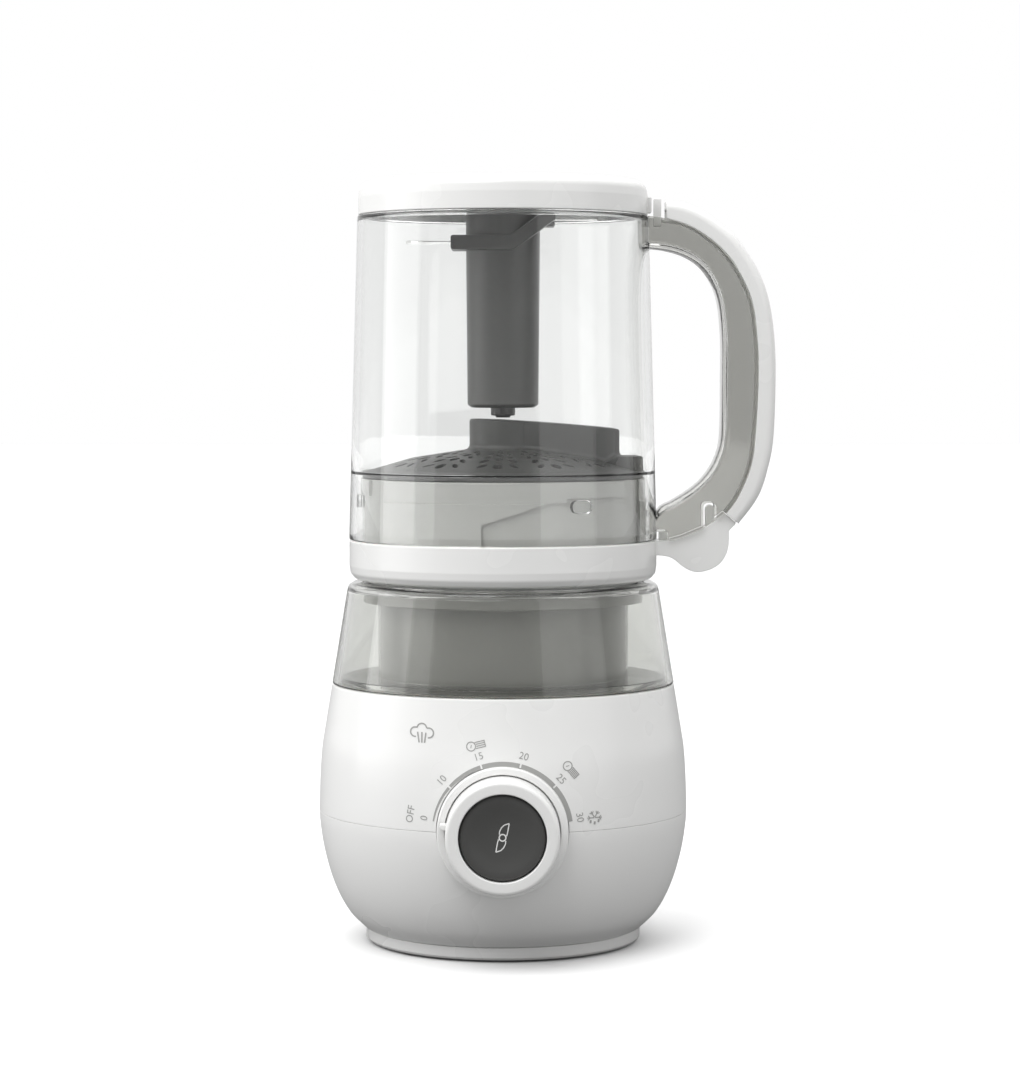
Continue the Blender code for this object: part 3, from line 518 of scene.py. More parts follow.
def under_plate():
    plate = lathe("plate", [
        (0, 1.0), (56.4, 1.0, 0.4), (57.1, 2.0, 0.5), (57.1, 6.2, 0.4), (52.4, 6.2), (52.4, 8.6),
        (50.4, 8.6), (50.4, 4.5), (0, 4.5),
    ])
    tools = []
    for x, y in around(4, 44.0):
        tools.append(cylinder("pocket", 7.2, (x, y, 0), (x, y, 2.5)))
    for x, y in around(4, 43.0, math.pi / 4):
        tools.append(cylinder("head_room", 3.4, (x, y, 0), (x, y, 3.0)))
        tools.append(cylinder("hole", 1.7, (x, y, 2), (x, y, 6), 24))
    for i in range(6):
        x = -20 + 8 * i
        slot = rounded([(x - 1, -16, 1), (x + 1, -16, 1), (x + 1, 16, 1), (x - 1, 16, 1)], 4)
        tools.append(extruded("vent", slot, 0.5, 1.9))
    boolean(plate, *tools)
    piece(plate, "under_plate", WHITE, "base_plate")
    for i, (x, y) in enumerate(around(4, 44.0), 1):
        pad = lathe("pad", [
            (0, 0.5), (3.2, 0.5, 0.2), (3.6, 0.0, 0.2), (6.7, 0.0, 0.6), (6.7, 2.2), (0, 2.2),
        ], COARSE, (x, y, 0))
        piece(pad, f"foot_pad_{i}", RUBBER, f"foot_{i}")
    for i, (x, y) in enumerate(around(4, 43.0, math.pi / 4), 1):
        screw = lathe("screw", [
            (0, 1.3), (2.2, 1.3), (3.0, 1.6, 0.2), (3.0, 2.7), (1.4, 2.7), (1.4, 13.0),
            (0, 13.8),
        ], COARSE, (x, y, 0))
        boolean(
            screw,
            box("cross_a", (x - 1.9, y - 0.35, 0.8), (x + 1.9, y + 0.35, 1.9)),
            box("cross_b", (x - 0.35, y - 1.9, 0.9), (x + 0.35, y + 1.9, 2.0)),
        )
        piece(screw, f"screw_{i}", STEEL, f"base_screw_{i}")
    gland = lathe("gland", [
        (3.3, 60), (3.3, 74.5, 0.4), (4.6, 74.5, 0.6), (5.2, 72.8), (4.9, 72.2), (5.5, 71.8),
        (5.9, 70.5), (5.9, 62), (7.8, 62), (7.8, 60),
    ], COARSE, (0, 0, 24), REAR)
    piece(gland, "lead_gland", RUBBER, "cord_gland")


# ---------------------------------------------------------------- water tank

TANK_SIDE = ((71.0, 107.7), (64.8, 145.6))
HINGE_Y, HINGE_Z = 68.1, 131.6
FLAP_LOW, FLAP_HIGH, FLAP_HALF = 129.0, 143.5, 15.0


def tank_radius(z):
    (r0, z0), (r1, z1) = TANK_SIDE
    return r0 + (r1 - r0) * (z - z0) / (z1 - z0)


def flap_window(name, margin):
    half, low, high = FLAP_HALF + margin, FLAP_LOW - margin, FLAP_HIGH + margin
    outline = rounded([
        (-half, low, 0.8), (half, low, 0.8), (half, high, 1.6), (-half, high, 1.6),
    ], 4)
    return extruded(name, outline, 50, 80, True)


def hinge_bore(name):
    return cylinder(name, 1.1, (-30, HINGE_Y, HINGE_Z), (30, HINGE_Y, HINGE_Z), 24)


def tank():
    shell = lathe("shell", [
        (71.0, 107.7, 0.3), (64.8, 145.6, 4), (64.2, 148.0, 2), (62.4, 149.4, 1.5),
        (61.4, 149.6, 0.6), (58.5, 149.6, 0.4), (58.5, 147.2, 0.4), (60.8, 147.0, 1.2),
        (62.0, 145.6, 1.2), (68.4, 107.7, 0.3),
    ], FINE)
    boolean(shell, flap_window("window", 0.4))
    for side in (-1, 1):
        low, high = sorted((side * 15.6, side * 18.4))
        join(shell, box("ear", (low, 63.6, 129.2), (high, 69.8, 134.2), 0.6))
    boolean(shell, hinge_bore("bore"))
    piece(shell, "tank_wall", TANK_SMOKY, "tank_shell")

    floor = lathe("floor", [(67.8, 108.2, 0.3), (67.4, 110.6, 0.5), (52.5, 110.6), (52.5, 108.2)])
    boolean(floor, cylinder("feed", 3.1, (46, 38.6, 107), (46, 38.6, 112)))
    piece(floor, "tank_bottom", TANK_SMOKY, "tank_floor")
    ring = lathe("ring", [
        (67.0, 105.1, 0.4), (67.0, 107.9, 0.5), (64.2, 107.9, 0.5), (64.2, 105.1, 0.4),
    ])
    piece(ring, "tank_gasket", SILICONE, "tank_seal")

    well = lathe("well", [
        (58.0, 141.5, 0.3), (58.0, 149.3, 0.6), (56.0, 149.3, 0.6), (56.0, 143.5, 0.8),
        (50.0, 143.5, 0.6), (50.0, 138.4, 0.8), (4.2, 138.4, 0.3), (4.2, 136.0),
        (50.0, 136.0), (50.0, 108.2), (52.0, 108.2), (52.0, 141.5, 0.8),
    ])
    boolean(well, cylinder("nozzle_hole", 5.0, (STEAM_X, 0, 130), (STEAM_X, 0, 142)))
    piece(well, "well_cup", WELL, "drive_well", slot="inner_grey")

    high, low = FLAP_HIGH + 2.5, FLAP_LOW - 2
    flap = lathe("flap", [
        (tank_radius(low), low), (tank_radius(high), high),
        (tank_radius(high) - 2.6, high), (tank_radius(low) - 2.6, low),
    ])
    boolean(flap, flap_window("outline", 0), operation="INTERSECT")
    join(
        flap,
        cylinder("knuckle", 2.0, (-15.2, HINGE_Y, HINGE_Z), (15.2, HINGE_Y, HINGE_Z)),
        box("lip", (-7, 64.5, FLAP_HIGH - 3), (7, 69.0, FLAP_HIGH - 1.2), 0.5),
    )
    boolean(flap, hinge_bore("bore"))
    piece(flap, "filler_lid", TANK_SMOKY, "filler_flap")
    pin = lathe("pin", [(0, -18.2), (0.8, -18.2, 0.2), (0.8, 18.2, 0.2), (0, 18.2)], 24,
                (0, HINGE_Y, HINGE_Z), (0, math.pi / 2, 0))
    piece(pin, "hinge_pin", STEEL, "filler_pin")


def steam_and_drive():
    at = (STEAM_X, 0, 0)
    nozzle = lathe("nozzle", [
        (4.6, 105.1), (4.6, 133.2), (6.8, 133.2, 0.3), (6.8, 135.4, 0.3), (4.6, 135.4, 0.3),
        (4.4, 147.8, 0.4), (3.8, 148.6, 0.4), (2.4, 148.6, 0.3), (2.4, 105.1),
    ], COARSE, at)
    piece(nozzle, "nozzle_tube", WHITE, "steam_nozzle")
    ring = lathe("ring", [
        (7.2, 143.8, 0.5), (7.2, 146.0, 0.9), (4.9, 146.0, 0.4), (4.9, 143.8, 0.4),
    ], COARSE, at)
    piece(ring, "nozzle_ring", SILICONE, "nozzle_seal")
    coupling = lathe("coupling", [
        (0, 154.0), (6.8, 154.0, 0.5), (7.8, 153.0, 0.3), (7.8, 139.4, 0.3), (3.4, 139.4),
        (3.4, 149.4), (0, 149.4),
    ], COARSE)
    dogs = [
        lathe("dog", [(0, 140), (1.5, 140), (1.5, 153.4, 0.6), (0, 153.4)], 24, (x, y, 0))
        for x, y in around(6, 7.4)
    ]
    join(coupling, *dogs)
    piece(coupling, "drive_dog_hub", BLACK, "drive_coupling")


# ---------------------------------------------------------------- knob and print


def knob():
    at = (0, 0, KNOB_Z)
    bezel = lathe("bezel", [
        (26.0, 66), (26.0, 78.0, 0.8), (23.0, 78.0, 0.4), (22.9, 75.4), (9.5, 75.4), (9.5, 66),
    ], FINE, at, FRONT)
    piece(bezel, "dial_ring", WHITE, "knob_bezel")
    ring = lathe("ring", [
        (17.3, 81.0), (17.3, 93.0, 0.5), (22.5, 93.0, 1.7), (22.5, 76.0, 0.4), (20.2, 76.0),
        (20.2, 78.5), (8.5, 78.5), (8.5, 54), (6.0, 54), (6.0, 81.0),
    ], FINE, at, FRONT)
    angle, reach = math.radians(172), 22.7
    nub = rounded([(-2.2, -1.3, 0.3), (2.2, -0.9, 0.8), (2.2, 0.9, 0.8), (-2.2, 1.3, 0.3)], 4)
    turned = [
        (reach * math.cos(angle) + x * math.cos(angle) - y * math.sin(angle),
         KNOB_Z + reach * math.sin(angle) + x * math.sin(angle) + y * math.cos(angle))
        for x, y in nub
    ]
    join(ring, extruded("nub", turned, -84.5, -79, True, 0.4))
    piece(ring, "dial_knob", WHITE, "timer_knob")
    cap = lathe("cap", [
        (0, 89.4), (4, 89.45), (8, 89.8), (11, 90.5), (13.2, 91.15), (14.8, 91.5),
        (16.2, 91.4, 0.6), (16.85, 90.6, 0.4), (16.85, 86), (5.4, 86), (5.4, 47), (0, 47),
    ], FINE, at, FRONT)
    piece(cap, "push_button", BUTTON, "blend_button")


def on_body(obj, lift):
    """Lays a flat drawing, made in the XZ plane, onto the front of the round body."""
    for vert in obj.data.vertices:
        x, depth, z = vert.co / MM
        radius = body_radius(z) + lift - depth
        vert.co.y = -math.sqrt(max(radius**2 - x**2, 1)) * MM
    return obj


def stroke(points, width, closed=False):
    """A drawn line of even width, as a thin closed strip in the XZ plane."""
    count = len(points)
    sides = [[], []]
    for i, point in enumerate(points):
        before = points[(i - 1) % count if closed else max(i - 1, 0)]
        after = points[(i + 1) % count if closed else min(i + 1, count - 1)]
        along = Vector((after[0] - before[0], after[1] - before[1])).normalized()
        for side, line in zip((-1, 1), sides):
            line.append((point[0] - along.y * side * width / 2,
                         point[1] + along.x * side * width / 2))
    low, high = -0.05, 0.05
    verts = [(x, y, z) for y in (low, high) for line in sides for x, z in line]
    faces = []
    for i in range(count if closed else count - 1):
        a, b = i, (i + 1) % count
        left, right, top = 0, count, 2 * count
        faces += [
            (left + a, left + b, right + b, right + a),
            (top + left + a, top + right + a, top + right + b, top + left + b),
            (left + a, top + left + a, top + left + b, left + b),
            (right + a, right + b, top + right + b, top + right + a),
        ]
    if not closed:
        for i in (0, count - 1):
            faces.append((i, count + i, 3 * count + i, 2 * count + i))
    return mesh_object("stroke", verts, faces)


def arc_points(x, z, radius, start, end, count=14):
    return [
        (x + radius * math.cos(math.radians(a)), z + radius * math.sin(math.radians(a)))
        for a in spaced(start, end, count)
    ]


def lettering(text, height, x, z, turn):
    """Plain dial lettering, as a thin solid in the XZ plane."""
    curve = bpy.data.curves.new("text", "FONT")
    curve.body = text
    curve.size = height * MM
    curve.extrude = 0.05 * MM
    curve.offset = -0.01 * MM
    curve.resolution_u = 4
    curve.align_x, curve.align_y = "CENTER", "CENTER"
    source = bpy.data.objects.new("text", curve)
    bpy.context.scene.collection.objects.link(source)
    bpy.context.view_layer.update()
    graph = bpy.context.evaluated_depsgraph_get()
    mesh = bpy.data.meshes.new_from_object(source.evaluated_get(graph))
    bpy.data.objects.remove(source)
    shape = bmesh.new()
    shape.from_mesh(mesh)
    bmesh.ops.remove_doubles(shape, verts=shape.verts, dist=1e-6)
    spin = Euler((0, -math.radians(turn), 0)).to_matrix() @ Euler(FRONT).to_matrix()
    place = Matrix.Translation(Vector((x, 0, z)) * MM) @ spin.to_4x4()
    bmesh.ops.transform(shape, matrix=place, verts=shape.verts)
    bmesh.ops.recalc_face_normals(shape, faces=shape.faces)
    shape.to_mesh(mesh)
    shape.free()
    obj = bpy.data.objects.new("text", mesh)
    bpy.context.scene.collection.objects.link(obj)
    return obj


DIAL_OUTER, DIAL_THIN, DIAL_THICK = 27.9, 0.5, 2.0
DIAL_TICKS = (172, 140, 108, 75, 41, 8)
DIAL_LABELS = (("0", 171, 31.4), ("10", 140, 31.3), ("15", 107.7, 31.2), ("20", 74.4, 31.0),
               ("25", 41.9, 30.9), ("30", 9.7, 30.9), ("OFF", 170.5, 37.0))


def dial_scale():
    """The scale about the knob, which widens clockwise and is broken at each number."""
    bars = []
    for start, end in zip(DIAL_TICKS, DIAL_TICKS[1:]):
        gap = 0.75
        angles = spaced(start - (gap if start != 172 else 0), end + (gap if end != 8 else 0), 18)
        outer, inner = [], []
        for a in angles:
            share = min((172 - a) / 75, 1)
            thick = DIAL_THIN + (DIAL_THICK - DIAL_THIN) * share
            for line, radius in ((outer, DIAL_OUTER), (inner, DIAL_OUTER - thick)):
                line.append((
                    radius * math.cos(math.radians(a)),
                    KNOB_Z + radius * math.sin(math.radians(a)),
                ))
        count = len(angles)
        verts = [(x, y, z) for y in (-0.05, 0.05) for x, z in outer + inner]
        faces = []
        for i in range(count - 1):
            a, b, top = i, i + 1, 2 * count
            faces += [
                (a, b, count + b, count + a),
                (top + a, top + count + a, top + count + b, top + b),
                (a, top + a, top + b, b),
                (count + a, count + b, top + count + b, top + count + a),
            ]
        faces += [(i, count + i, 3 * count + i, 2 * count + i) for i in (0, count - 1)]
        bars.append(mesh_object("bar", verts, faces))
    labels = [
        lettering(
            text, 4.0, reach * math.cos(math.radians(a)),
            KNOB_Z + reach * math.sin(math.radians(a)), a - 90,
        )
        for text, a, reach in DIAL_LABELS
    ]
    piece(on_body(merged("scale", bars), 0.05), "dial_scale", PRINT, rides="upper_housing")
    piece(on_body(merged("numbers", labels), 0.05), "dial_numbers", PRINT, rides="upper_housing")


def moved(points, x, z, turn=0.0):
    """Flat points turned by an angle in degrees and then shifted."""
    c, s = math.cos(math.radians(turn)), math.sin(math.radians(turn))
    return [(x + u * c - v * s, z + u * s + v * c) for u, v in points]


def steam_icon(x, z):
    cloud = (
        arc_points(-2.7, 0.7, 1.85, -80, -262, 12) + arc_points(0, 2.2, 1.9, 168, 18, 12)
        + arc_points(2.75, 0.5, 1.9, 108, -100, 14)
    )
    lines = [[(-1.7, 0.7), (-1.45, -1), (-1.1, -3.4)], [(0, 0.7), (0, -3.4)],
             [(1.6, 0.5), (1.4, -1), (1.05, -3.4)]]
    return [stroke(moved(line, x, z), 0.55) for line in (cloud, *lines)]


def portion_icon(x, z, turn, rows):
    """A round slice with strips beside it: more strips stand for a firmer food."""
    shapes = [stroke(moved(arc_points(-2.1, 0, 1.75, 0, 345, 24), x, z, turn), 0.38, True)]
    for i in range(rows):
        v = 1.2 - 2.4 * i / (rows - 1)
        start = -2.1 + math.sqrt(max(1.95**2 - v**2, 0.2)) + 0.15
        shapes.append(stroke(moved([(start, v), (1.4, v), (3.5, v)], x, z, turn), 0.34))
    shapes.append(stroke(moved([(3.5, -1.35), (3.5, 0), (3.5, 1.35)], x, z, turn), 0.34))
    shapes.append(stroke(moved([(-2.4, -0.6), (-2.1, 0), (-1.8, 0.6)], x, z, turn), 0.3))
    return shapes


def frost_icon(x, z):
    shapes = []
    for turn in (0, 60, 120, 180):
        shapes.append(stroke(moved([(0.2, 0), (1.4, 0), (2.9, 0)], x, z, turn), 0.42))
        for side in (-1, 1):
            twig = [(1.7, 0), (2.2, side * 0.45), (2.6, side * 0.85)]
            shapes.append(stroke(moved(twig, x, z, turn), 0.34))
    for u, v in ((-1.6, -1.9), (0, -2.5), (1.6, -1.7)):
        drop = [(u + 0.1, v + 1.0), (u + 0.02, v + 0.4), (u - 0.05, v - 0.2)]
        shapes.append(stroke(moved(drop, x, z), 0.75))
    return shapes


def body_icons():
    shapes = (
        steam_icon(-32.0, 93.4) + portion_icon(-10.4, 89.7, 14, 4)
        + portion_icon(27.0, 79.6, -50, 5) + frost_icon(36.4, 60.2)
    )
    piece(on_body(merged("icons", shapes), 0.05), "body_icons", PRINT, rides="upper_housing")


def dish_depth(radius):
    """How far forward the button's dished face is, at a radius."""
    keys = ((0, 89.4), (4, 89.45), (8, 89.8), (11, 90.5), (13.2, 91.15))
    for (r0, a0), (r1, a1) in zip(keys, keys[1:]):
        if radius <= r1:
            return a0 + (a1 - a0) * (radius - r0) / (r1 - r0)
    return keys[-1][1]


def button_icon():
    """Two mirrored curved blades about a ring: a plain sign for blending."""
    shapes = [stroke(arc_points(0, 0, 1.3, 0, 345, 24), 0.5, True)]
    edge = [(-1.25, 1.2), (-1.15, 2.4), (-0.45, 3.9), (0.7, 5.0), (2.6, 5.6)]
    back = [(2.6, 5.6), (2.25, 3.6), (1.95, 1.9), (1.55, 0.6)]
    for turn in (0, 180):
        for line in (edge, back):
            fine = [
                tuple(Vector(a).lerp(Vector(b), t))
                for a, b in zip(line, line[1:]) for t in (0, 0.5)
            ] + [line[-1]]
            shapes.append(stroke(moved(fine, 0, 0, turn), 0.42))
    sign = merged("sign", shapes)
    for vert in sign.data.vertices:
        x, depth, z = vert.co / MM
        vert.co.y = -(dish_depth(math.hypot(x, z)) + 0.05 - depth) * MM
        vert.co.z = (z + KNOB_Z) * MM
    piece(sign, "button_sign", ICON, rides="blend_button", slot="knob_white")


# ---------------------------------------------------------------- jar lid and sieve

ARM_TOP = (
    (59.5, 166.8), (70.0, 167.0), (74.6, 168.2), (79.6, 170.3), (83.5, 172.0), (89.0, 175.7),
    (92.0, 178.2, 0.4),
)
ARM_UNDER = (
    (93.8, 171.0), (93.3, 163.4), (90.6, 158.0), (86.0, 154.9), (80.0, 153.9), (75.0, 156.0),
    (70.4, 159.6), (65.5, 160.7), (59.5, 160.7),
)
TOOTH = (
    (84.0, 171), (87.8, 173), (87.8, 181.4, 1.8), (84.0, 181.4, 1.8),
)
RECESS = (
    (-36.3, 167.2), (-36.3, 175.7), (-13.6, 184.1), (-4.2, 184.1), (-4.2, 185.9),
    (25.2, 185.9), (25.2, 194.0), (36.3, 194.0), (36.3, 167.2),
)
RECESS_MIDDLE = math.radians(-60.5)


def curved_bar(name, profile, half, soften):
    """A bar that follows the lid's round: an upright outline, bent about the Z axis."""
    bar = extruded(name, rounded(profile, 4), -half, half, True, soften)
    for vert in bar.data.vertices:
        vert.co.x = math.sqrt(max(vert.co.x**2 - vert.co.y**2, 0))
    return bar


def recess(index):
    angle = RECESS_MIDDLE + math.pi / 2 + 2 * math.pi * index / 3
    ring = lathe("ring", [(58.2, 160), (62, 160), (62, 196), (58.2, 196)], FINE)
    window = extruded("window", RECESS, -75, -40, True)
    window.data.transform(Matrix.Rotation(angle, 4, "Z"))
    return boolean(ring, window, operation="INTERSECT")


def lid():
    shape = lathe("lid", [
        (0, 156.4), (13, 156.4), (13, 152.4, 0.4), (53.0, 152.4, 0.4), (53.0, 146.5, 0.5),
        (55.3, 146.5, 0.5), (55.3, 150.3, 0.6), (58.8, 150.3, 1.0), (61.6, 151.3, 2.5),
        (63.3, 153.4, 2.5), (63.75, 156.5, 3), (63.75, 166.8, 0.4), (59.6, 166.8), (59.6, 183.7),
        (59.1, 184.1), (59.1, 192.5, 0.7), (56.8, 192.5, 0.5), (56.8, 155.2, 2.0),
        (16, 155.2, 1.0), (16, 159.2, 1.5), (0, 159.2),
    ])
    join(
        shape,
        curved_bar("arm", [*ARM_TOP, (96.8, 174.1, 0.8), *fine_line(ARM_UNDER, 4)], 8.5, 1.3),
        curved_bar("tooth", TOOTH, 2.5, 0.5),
        box("rib", (64.8, -3, 166), (68.2, 3, 170.3), 0.5),
    )
    groove = lathe("groove", [(60.4, 165), (62.7, 165), (62.7, 168), (60.4, 168)])
    boolean(shape, groove, cylinder("inlet_hole", 7.6, (STEAM_X, 0, 150), (STEAM_X, 0, 158)))
    boolean(shape, recess(0), recess(1), recess(2))
    shape.data.materials.clear()
    for mat in (LID_WHITE, COLLAR_PAINTED_SHADE):
        shape.data.materials.append(mat)
    # The collar's faces inside the jar get the darker grey copy of the lid's white, which is
    # painted shade. The rest of the lid stays white.
    for face in shape.data.polygons:
        x, y, z = face.center / MM
        face.material_index = int(z > 167.0 and math.hypot(x, y) < 60.2)
    piece(shape, "jar_base_lid", LID_WHITE, "jar_lid")
    ring = lathe("ring", [
        (62.5, 165.2, 0.2), (62.5, 167.0, 0.4), (60.6, 167.0, 0.4), (60.6, 165.2, 0.2),
    ])
    piece(ring, "lid_gasket", SILICONE, "lid_seal")
    inlet = lathe("inlet", [
        (7.2, 146.4, 0.4), (7.2, 155.6), (9.6, 155.6, 0.3), (9.6, 157.4, 0.5), (6.4, 157.4, 0.8),
        (6.0, 190.0, 0.6), (3.6, 190.0, 0.4), (5.4, 156), (5.4, 146.4, 0.4),
    ], COARSE, (STEAM_X, 0, 0))
    piece(inlet, "steam_riser", GREY, "steam_inlet")


DOME = ((0, 204.4), (16, 204.2), (38, 200.8), (54, 196.2), (58.3, 195.6))


def dome_height(radius):
    for (r0, z0), (r1, z1) in zip(DOME, DOME[1:]):
        if radius <= r1:
            return z0 + (z1 - z0) * (radius - r0) / (r1 - r0)
    return DOME[-1][1]


def duct_outline(inset):
    """The steam duct in plan: round about the axis, then a bar towards +X."""
    radius, half, end = 13.9 - inset, 11.0 - inset, 47.8 - inset
    reach = math.sqrt(radius**2 - half**2)
    start = math.atan2(half, reach)
    arc = [
        (radius * math.cos(a), radius * math.sin(a))
        for a in spaced(start, 2 * math.pi - start, 48)
    ]
    side = [(x, half) for x in spaced(end - 2, reach + 2, 10)]
    mirrored = [(x, -y) for x, y in reversed(side)]
    return [(end, half - 2), *side, *arc, *mirrored, (end, -half + 2)]


def duct():
    """The duct's walls, with a soft top edge and a fillet where they meet the dome."""
    outline = duct_outline(0)
    count = len(outline)
    rows = []
    for i, point in enumerate(outline):
        here = Vector(point)
        along = (Vector(outline[(i + 1) % count]) - Vector(outline[i - 1])).normalized()
        out = Vector((along.y, -along.x))
        if out.dot(here - Vector((20, 0)) if here.x > 15 else here) < 0:
            out.negate()
        top = 217.0 - (max(here.x, -13.9) + 13.9) ** 1.5 * 0.0084
        base = 201.7 if here.x > 44 else dome_height(here.length)
        row = []
        for k in range(4):
            a = math.pi / 2 * k / 3
            spot = here - out * 1.0 * (1 - math.sin(a))
            row.append((spot.x, spot.y, top - 1.0 + 1.0 * math.cos(a)))
        for k in range(5):
            a = math.pi / 2 * k / 4
            spot = here + out * 2.2 * (1 - math.cos(a))
            row.append((spot.x, spot.y, base + 2.2 * (1 - math.sin(a))))
        spot = here + out * 2.2
        row += [(spot.x, spot.y, base - 0.4), (here.x, here.y, 197.3)]
        rows.append(row)
    depth = len(rows[0])
    verts = [v for row in rows for v in row]
    faces = []
    for i in range(count):
        a, b = i * depth, ((i + 1) % count) * depth
        faces += [(a + k, b + k, b + k + 1, a + k + 1) for k in range(depth - 1)]
    faces.append([i * depth for i in range(count)])
    faces.append([i * depth + depth - 1 for i in reversed(range(count))])
    return mesh_object("duct", verts, faces)


def leaf(x, y, length, width, turn):
    """A tool that punches one leaf-shaped hole through the dome."""
    points = [
        (x + length / 2 * math.cos(a) * math.cos(turn) - width / 2 * math.sin(a) * math.sin(turn),
         y + length / 2 * math.cos(a) * math.sin(turn) + width / 2 * math.sin(a) * math.cos(turn))
        for a in spaced(0, 2 * math.pi * 11 / 12, 12)
    ]
    return extruded("leaf", points, 186, 208)


def sprigs():
    """Twelve sprigs of holes: a row of round ones outwards, with slanted leaves beside it."""
    tools = []
    for i in range(12):
        middle = math.radians(-92.5 + 30 * i)
        holes = [(19.5, 0, 3.4, 2.6, 0), (27, 0, 5.0, 3.2, 0), (36, 0, 5.8, 3.6, 0),
                 (46, 0, 6.2, 3.8, 0)]
        for side in (-1, 1):
            holes += [
                (24, side * 3.6, 4.2, 1.8, side * 0.5), (31.5, side * 4.6, 5.4, 2.2, side * 0.6),
                (38.5, side * 5.6, 6.0, 2.4, side * 0.7), (45.0, side * 6.2, 5.8, 2.4, side * 0.75),
            ]
        for r, off, length, width, slant in holes:
            x = r * math.cos(middle) - off * math.sin(middle)
            y = r * math.sin(middle) + off * math.cos(middle)
            if x > -4 and abs(y) < 15.5 or math.hypot(x, y) < 18:
                continue
            tools.append(leaf(x, y, length, width, middle + slant))
    return merged("sprigs", tools)


def sieve():
    dome = lathe("dome", [
        (0, 204.4), (16, 204.2, 6), (38, 200.8, 20), (54, 196.2, 6), (58.3, 195.6, 0.3),
        (58.3, 192.8, 0.3), (54, 192.8, 4), (38, 198.6, 20), (16, 202.2, 6), (0, 202.4),
    ], FINE)
    step = rounded([(46, -12, 1), (57.2, -12, 1.5), (57.2, 12, 1.5), (46, 12, 1)], 4)
    join(dome, duct(), extruded("step", step, 195, 201.7, soften=0.6))
    boolean(dome, extruded("hollow", duct_outline(2.2), 190, 210.3))
    boolean(dome, sprigs(), overlapping=True)
    piece(dome, "sieve_dome", SIEVE, "sieve")


# ---------------------------------------------------------------- jar and handle


def jar():
    glass = lathe("glass", [
        (6.0, 306.6), (56.2, 306.6, 0.6), (57.0, 305.8, 0.3), (57.0, 300.7, 0.3),
        (60.2, 300.7, 0.6), (63.8, 170.0, 3), (63.8, 167.1, 0.7), (61.4, 167.1, 0.6),
        (61.1, 170.0, 0.6), (61.1, 194.6, 0.4), (60.1, 195.4, 0.5), (57.6, 299.7, 3.0),
        (54.4, 302.2, 0.6), (54.4, 304.0), (6.0, 304.0),
    ])
    for i in range(3):
        angle = math.radians(-59) + 2 * math.pi * i / 3
        oval = rounded([(-4.6, 179.9, 2.6), (4.6, 179.9, 2.6), (4.6, 185.3, 2.6),
                        (-4.6, 185.3, 2.6)], 8)
        lug = extruded("lug", oval, 58.6, 62.2, True, 0.5)
        lug.data.transform(Matrix.Rotation(angle - math.pi / 2, 4, "Z"))
        join(glass, lug)
    piece(glass, "jar_wall", JAR_CLEAR, "jar")
    cap = lathe("cap", [
        (23.0, 315.0, 0.8), (54.8, 315.0, 6), (59.3, 313.0, 4), (59.8, 308.0, 4),
        (59.8, 301.0, 0.4), (57.5, 301.0, 0.3), (57.5, 309.5), (55.5, 311.8), (25.6, 311.8),
        (25.6, 307.0), (23.0, 307.0),
    ])
    join(cap, box("hook", (58.2, -3.5, 302.0), (61.3, 3.5, 308.6), 0.5))
    piece(cap, "jar_top_cap", LID_WHITE, "jar_cap")
    ring = lathe("ring", [
        (50, 306.9, 0.4), (50, 311.4, 0.6), (47.6, 311.4, 0.6), (47.6, 306.9, 0.4),
    ])
    piece(ring, "cap_gasket", SILICONE, "cap_seal")


GRIP_OUTER = (
    (67.1, 306.6), (73.8, 306.0), (81.7, 302.8), (89.6, 297.4), (96.7, 291.1), (105.0, 278.6),
    (109.6, 266.1), (111.9, 251.0), (112.5, 234.0), (111.7, 209.9), (109.6, 197.4),
    (105.4, 184.9), (97.1, 173.6),
)
GRIP_SEAM = (
    (67.1, 299.4), (76.0, 296.6), (85.0, 291.1), (91.7, 284.9), (96.3, 278.6), (102.1, 266.1),
    (104.4, 251.0), (105.0, 234.0), (103.9, 211.0), (102.1, 197.4), (96.9, 184.9),
    (91.6, 177.6),
)
GRIP_INNER = (
    (60.0, 287.4), (67.0, 286.6), (74.2, 284.5), (80.6, 280.6), (85.4, 274.4), (88.8, 265.1),
    (90.3, 251.0), (90.4, 234.0), (90.1, 211.0), (88.4, 202.4), (84.6, 195.0), (78.6, 188.8),
    (70.0, 183.2), (64.6, 180.2), (60.0, 172.0),
)
HALF, CHANNEL = 10.5, 7.5


def fine_line(keys, per_span=6):
    """Points along a Catmull-Rom curve through flat key points."""
    line = []
    for i in range(len(keys) - 1):
        a, b = Vector(keys[max(i - 1, 0)]), Vector(keys[i])
        c, d = Vector(keys[i + 1]), Vector(keys[min(i + 2, len(keys) - 1)])
        for step in range(per_span):
            t = step / per_span
            line.append(0.5 * (
                2 * b + (c - a) * t + (2 * a - 5 * b + 4 * c - d) * t**2
                + (3 * b - a - 3 * c + d) * t**3
            ))
    return line + [Vector(keys[-1])]


def evenly(line, count):
    """The same line with its points at even steps along it."""
    lengths = [0.0]
    for a, b in zip(line, line[1:]):
        lengths.append(lengths[-1] + (b - a).length)
    points = []
    for target in spaced(0, lengths[-1], count):
        i = min(max(bisect_right(lengths, target) - 1, 0), len(line) - 2)
        t = (target - lengths[i]) / (lengths[i + 1] - lengths[i])
        points.append(line[i].lerp(line[i + 1], t))
    return points


def loft(name, stations):
    """A closed skin through rings of points, with its ends filled."""
    count = len(stations[0])
    verts = [point for ring in stations for point in ring]
    faces = []
    for s in range(len(stations) - 1):
        for k in range(count):
            n = (k + 1) % count
            faces.append((s * count + k, s * count + n, (s + 1) * count + n, (s + 1) * count + k))
    faces.append(list(range(count)))
    faces.append([(len(stations) - 1) * count + k for k in reversed(range(count))])
    return mesh_object(name, verts, faces)


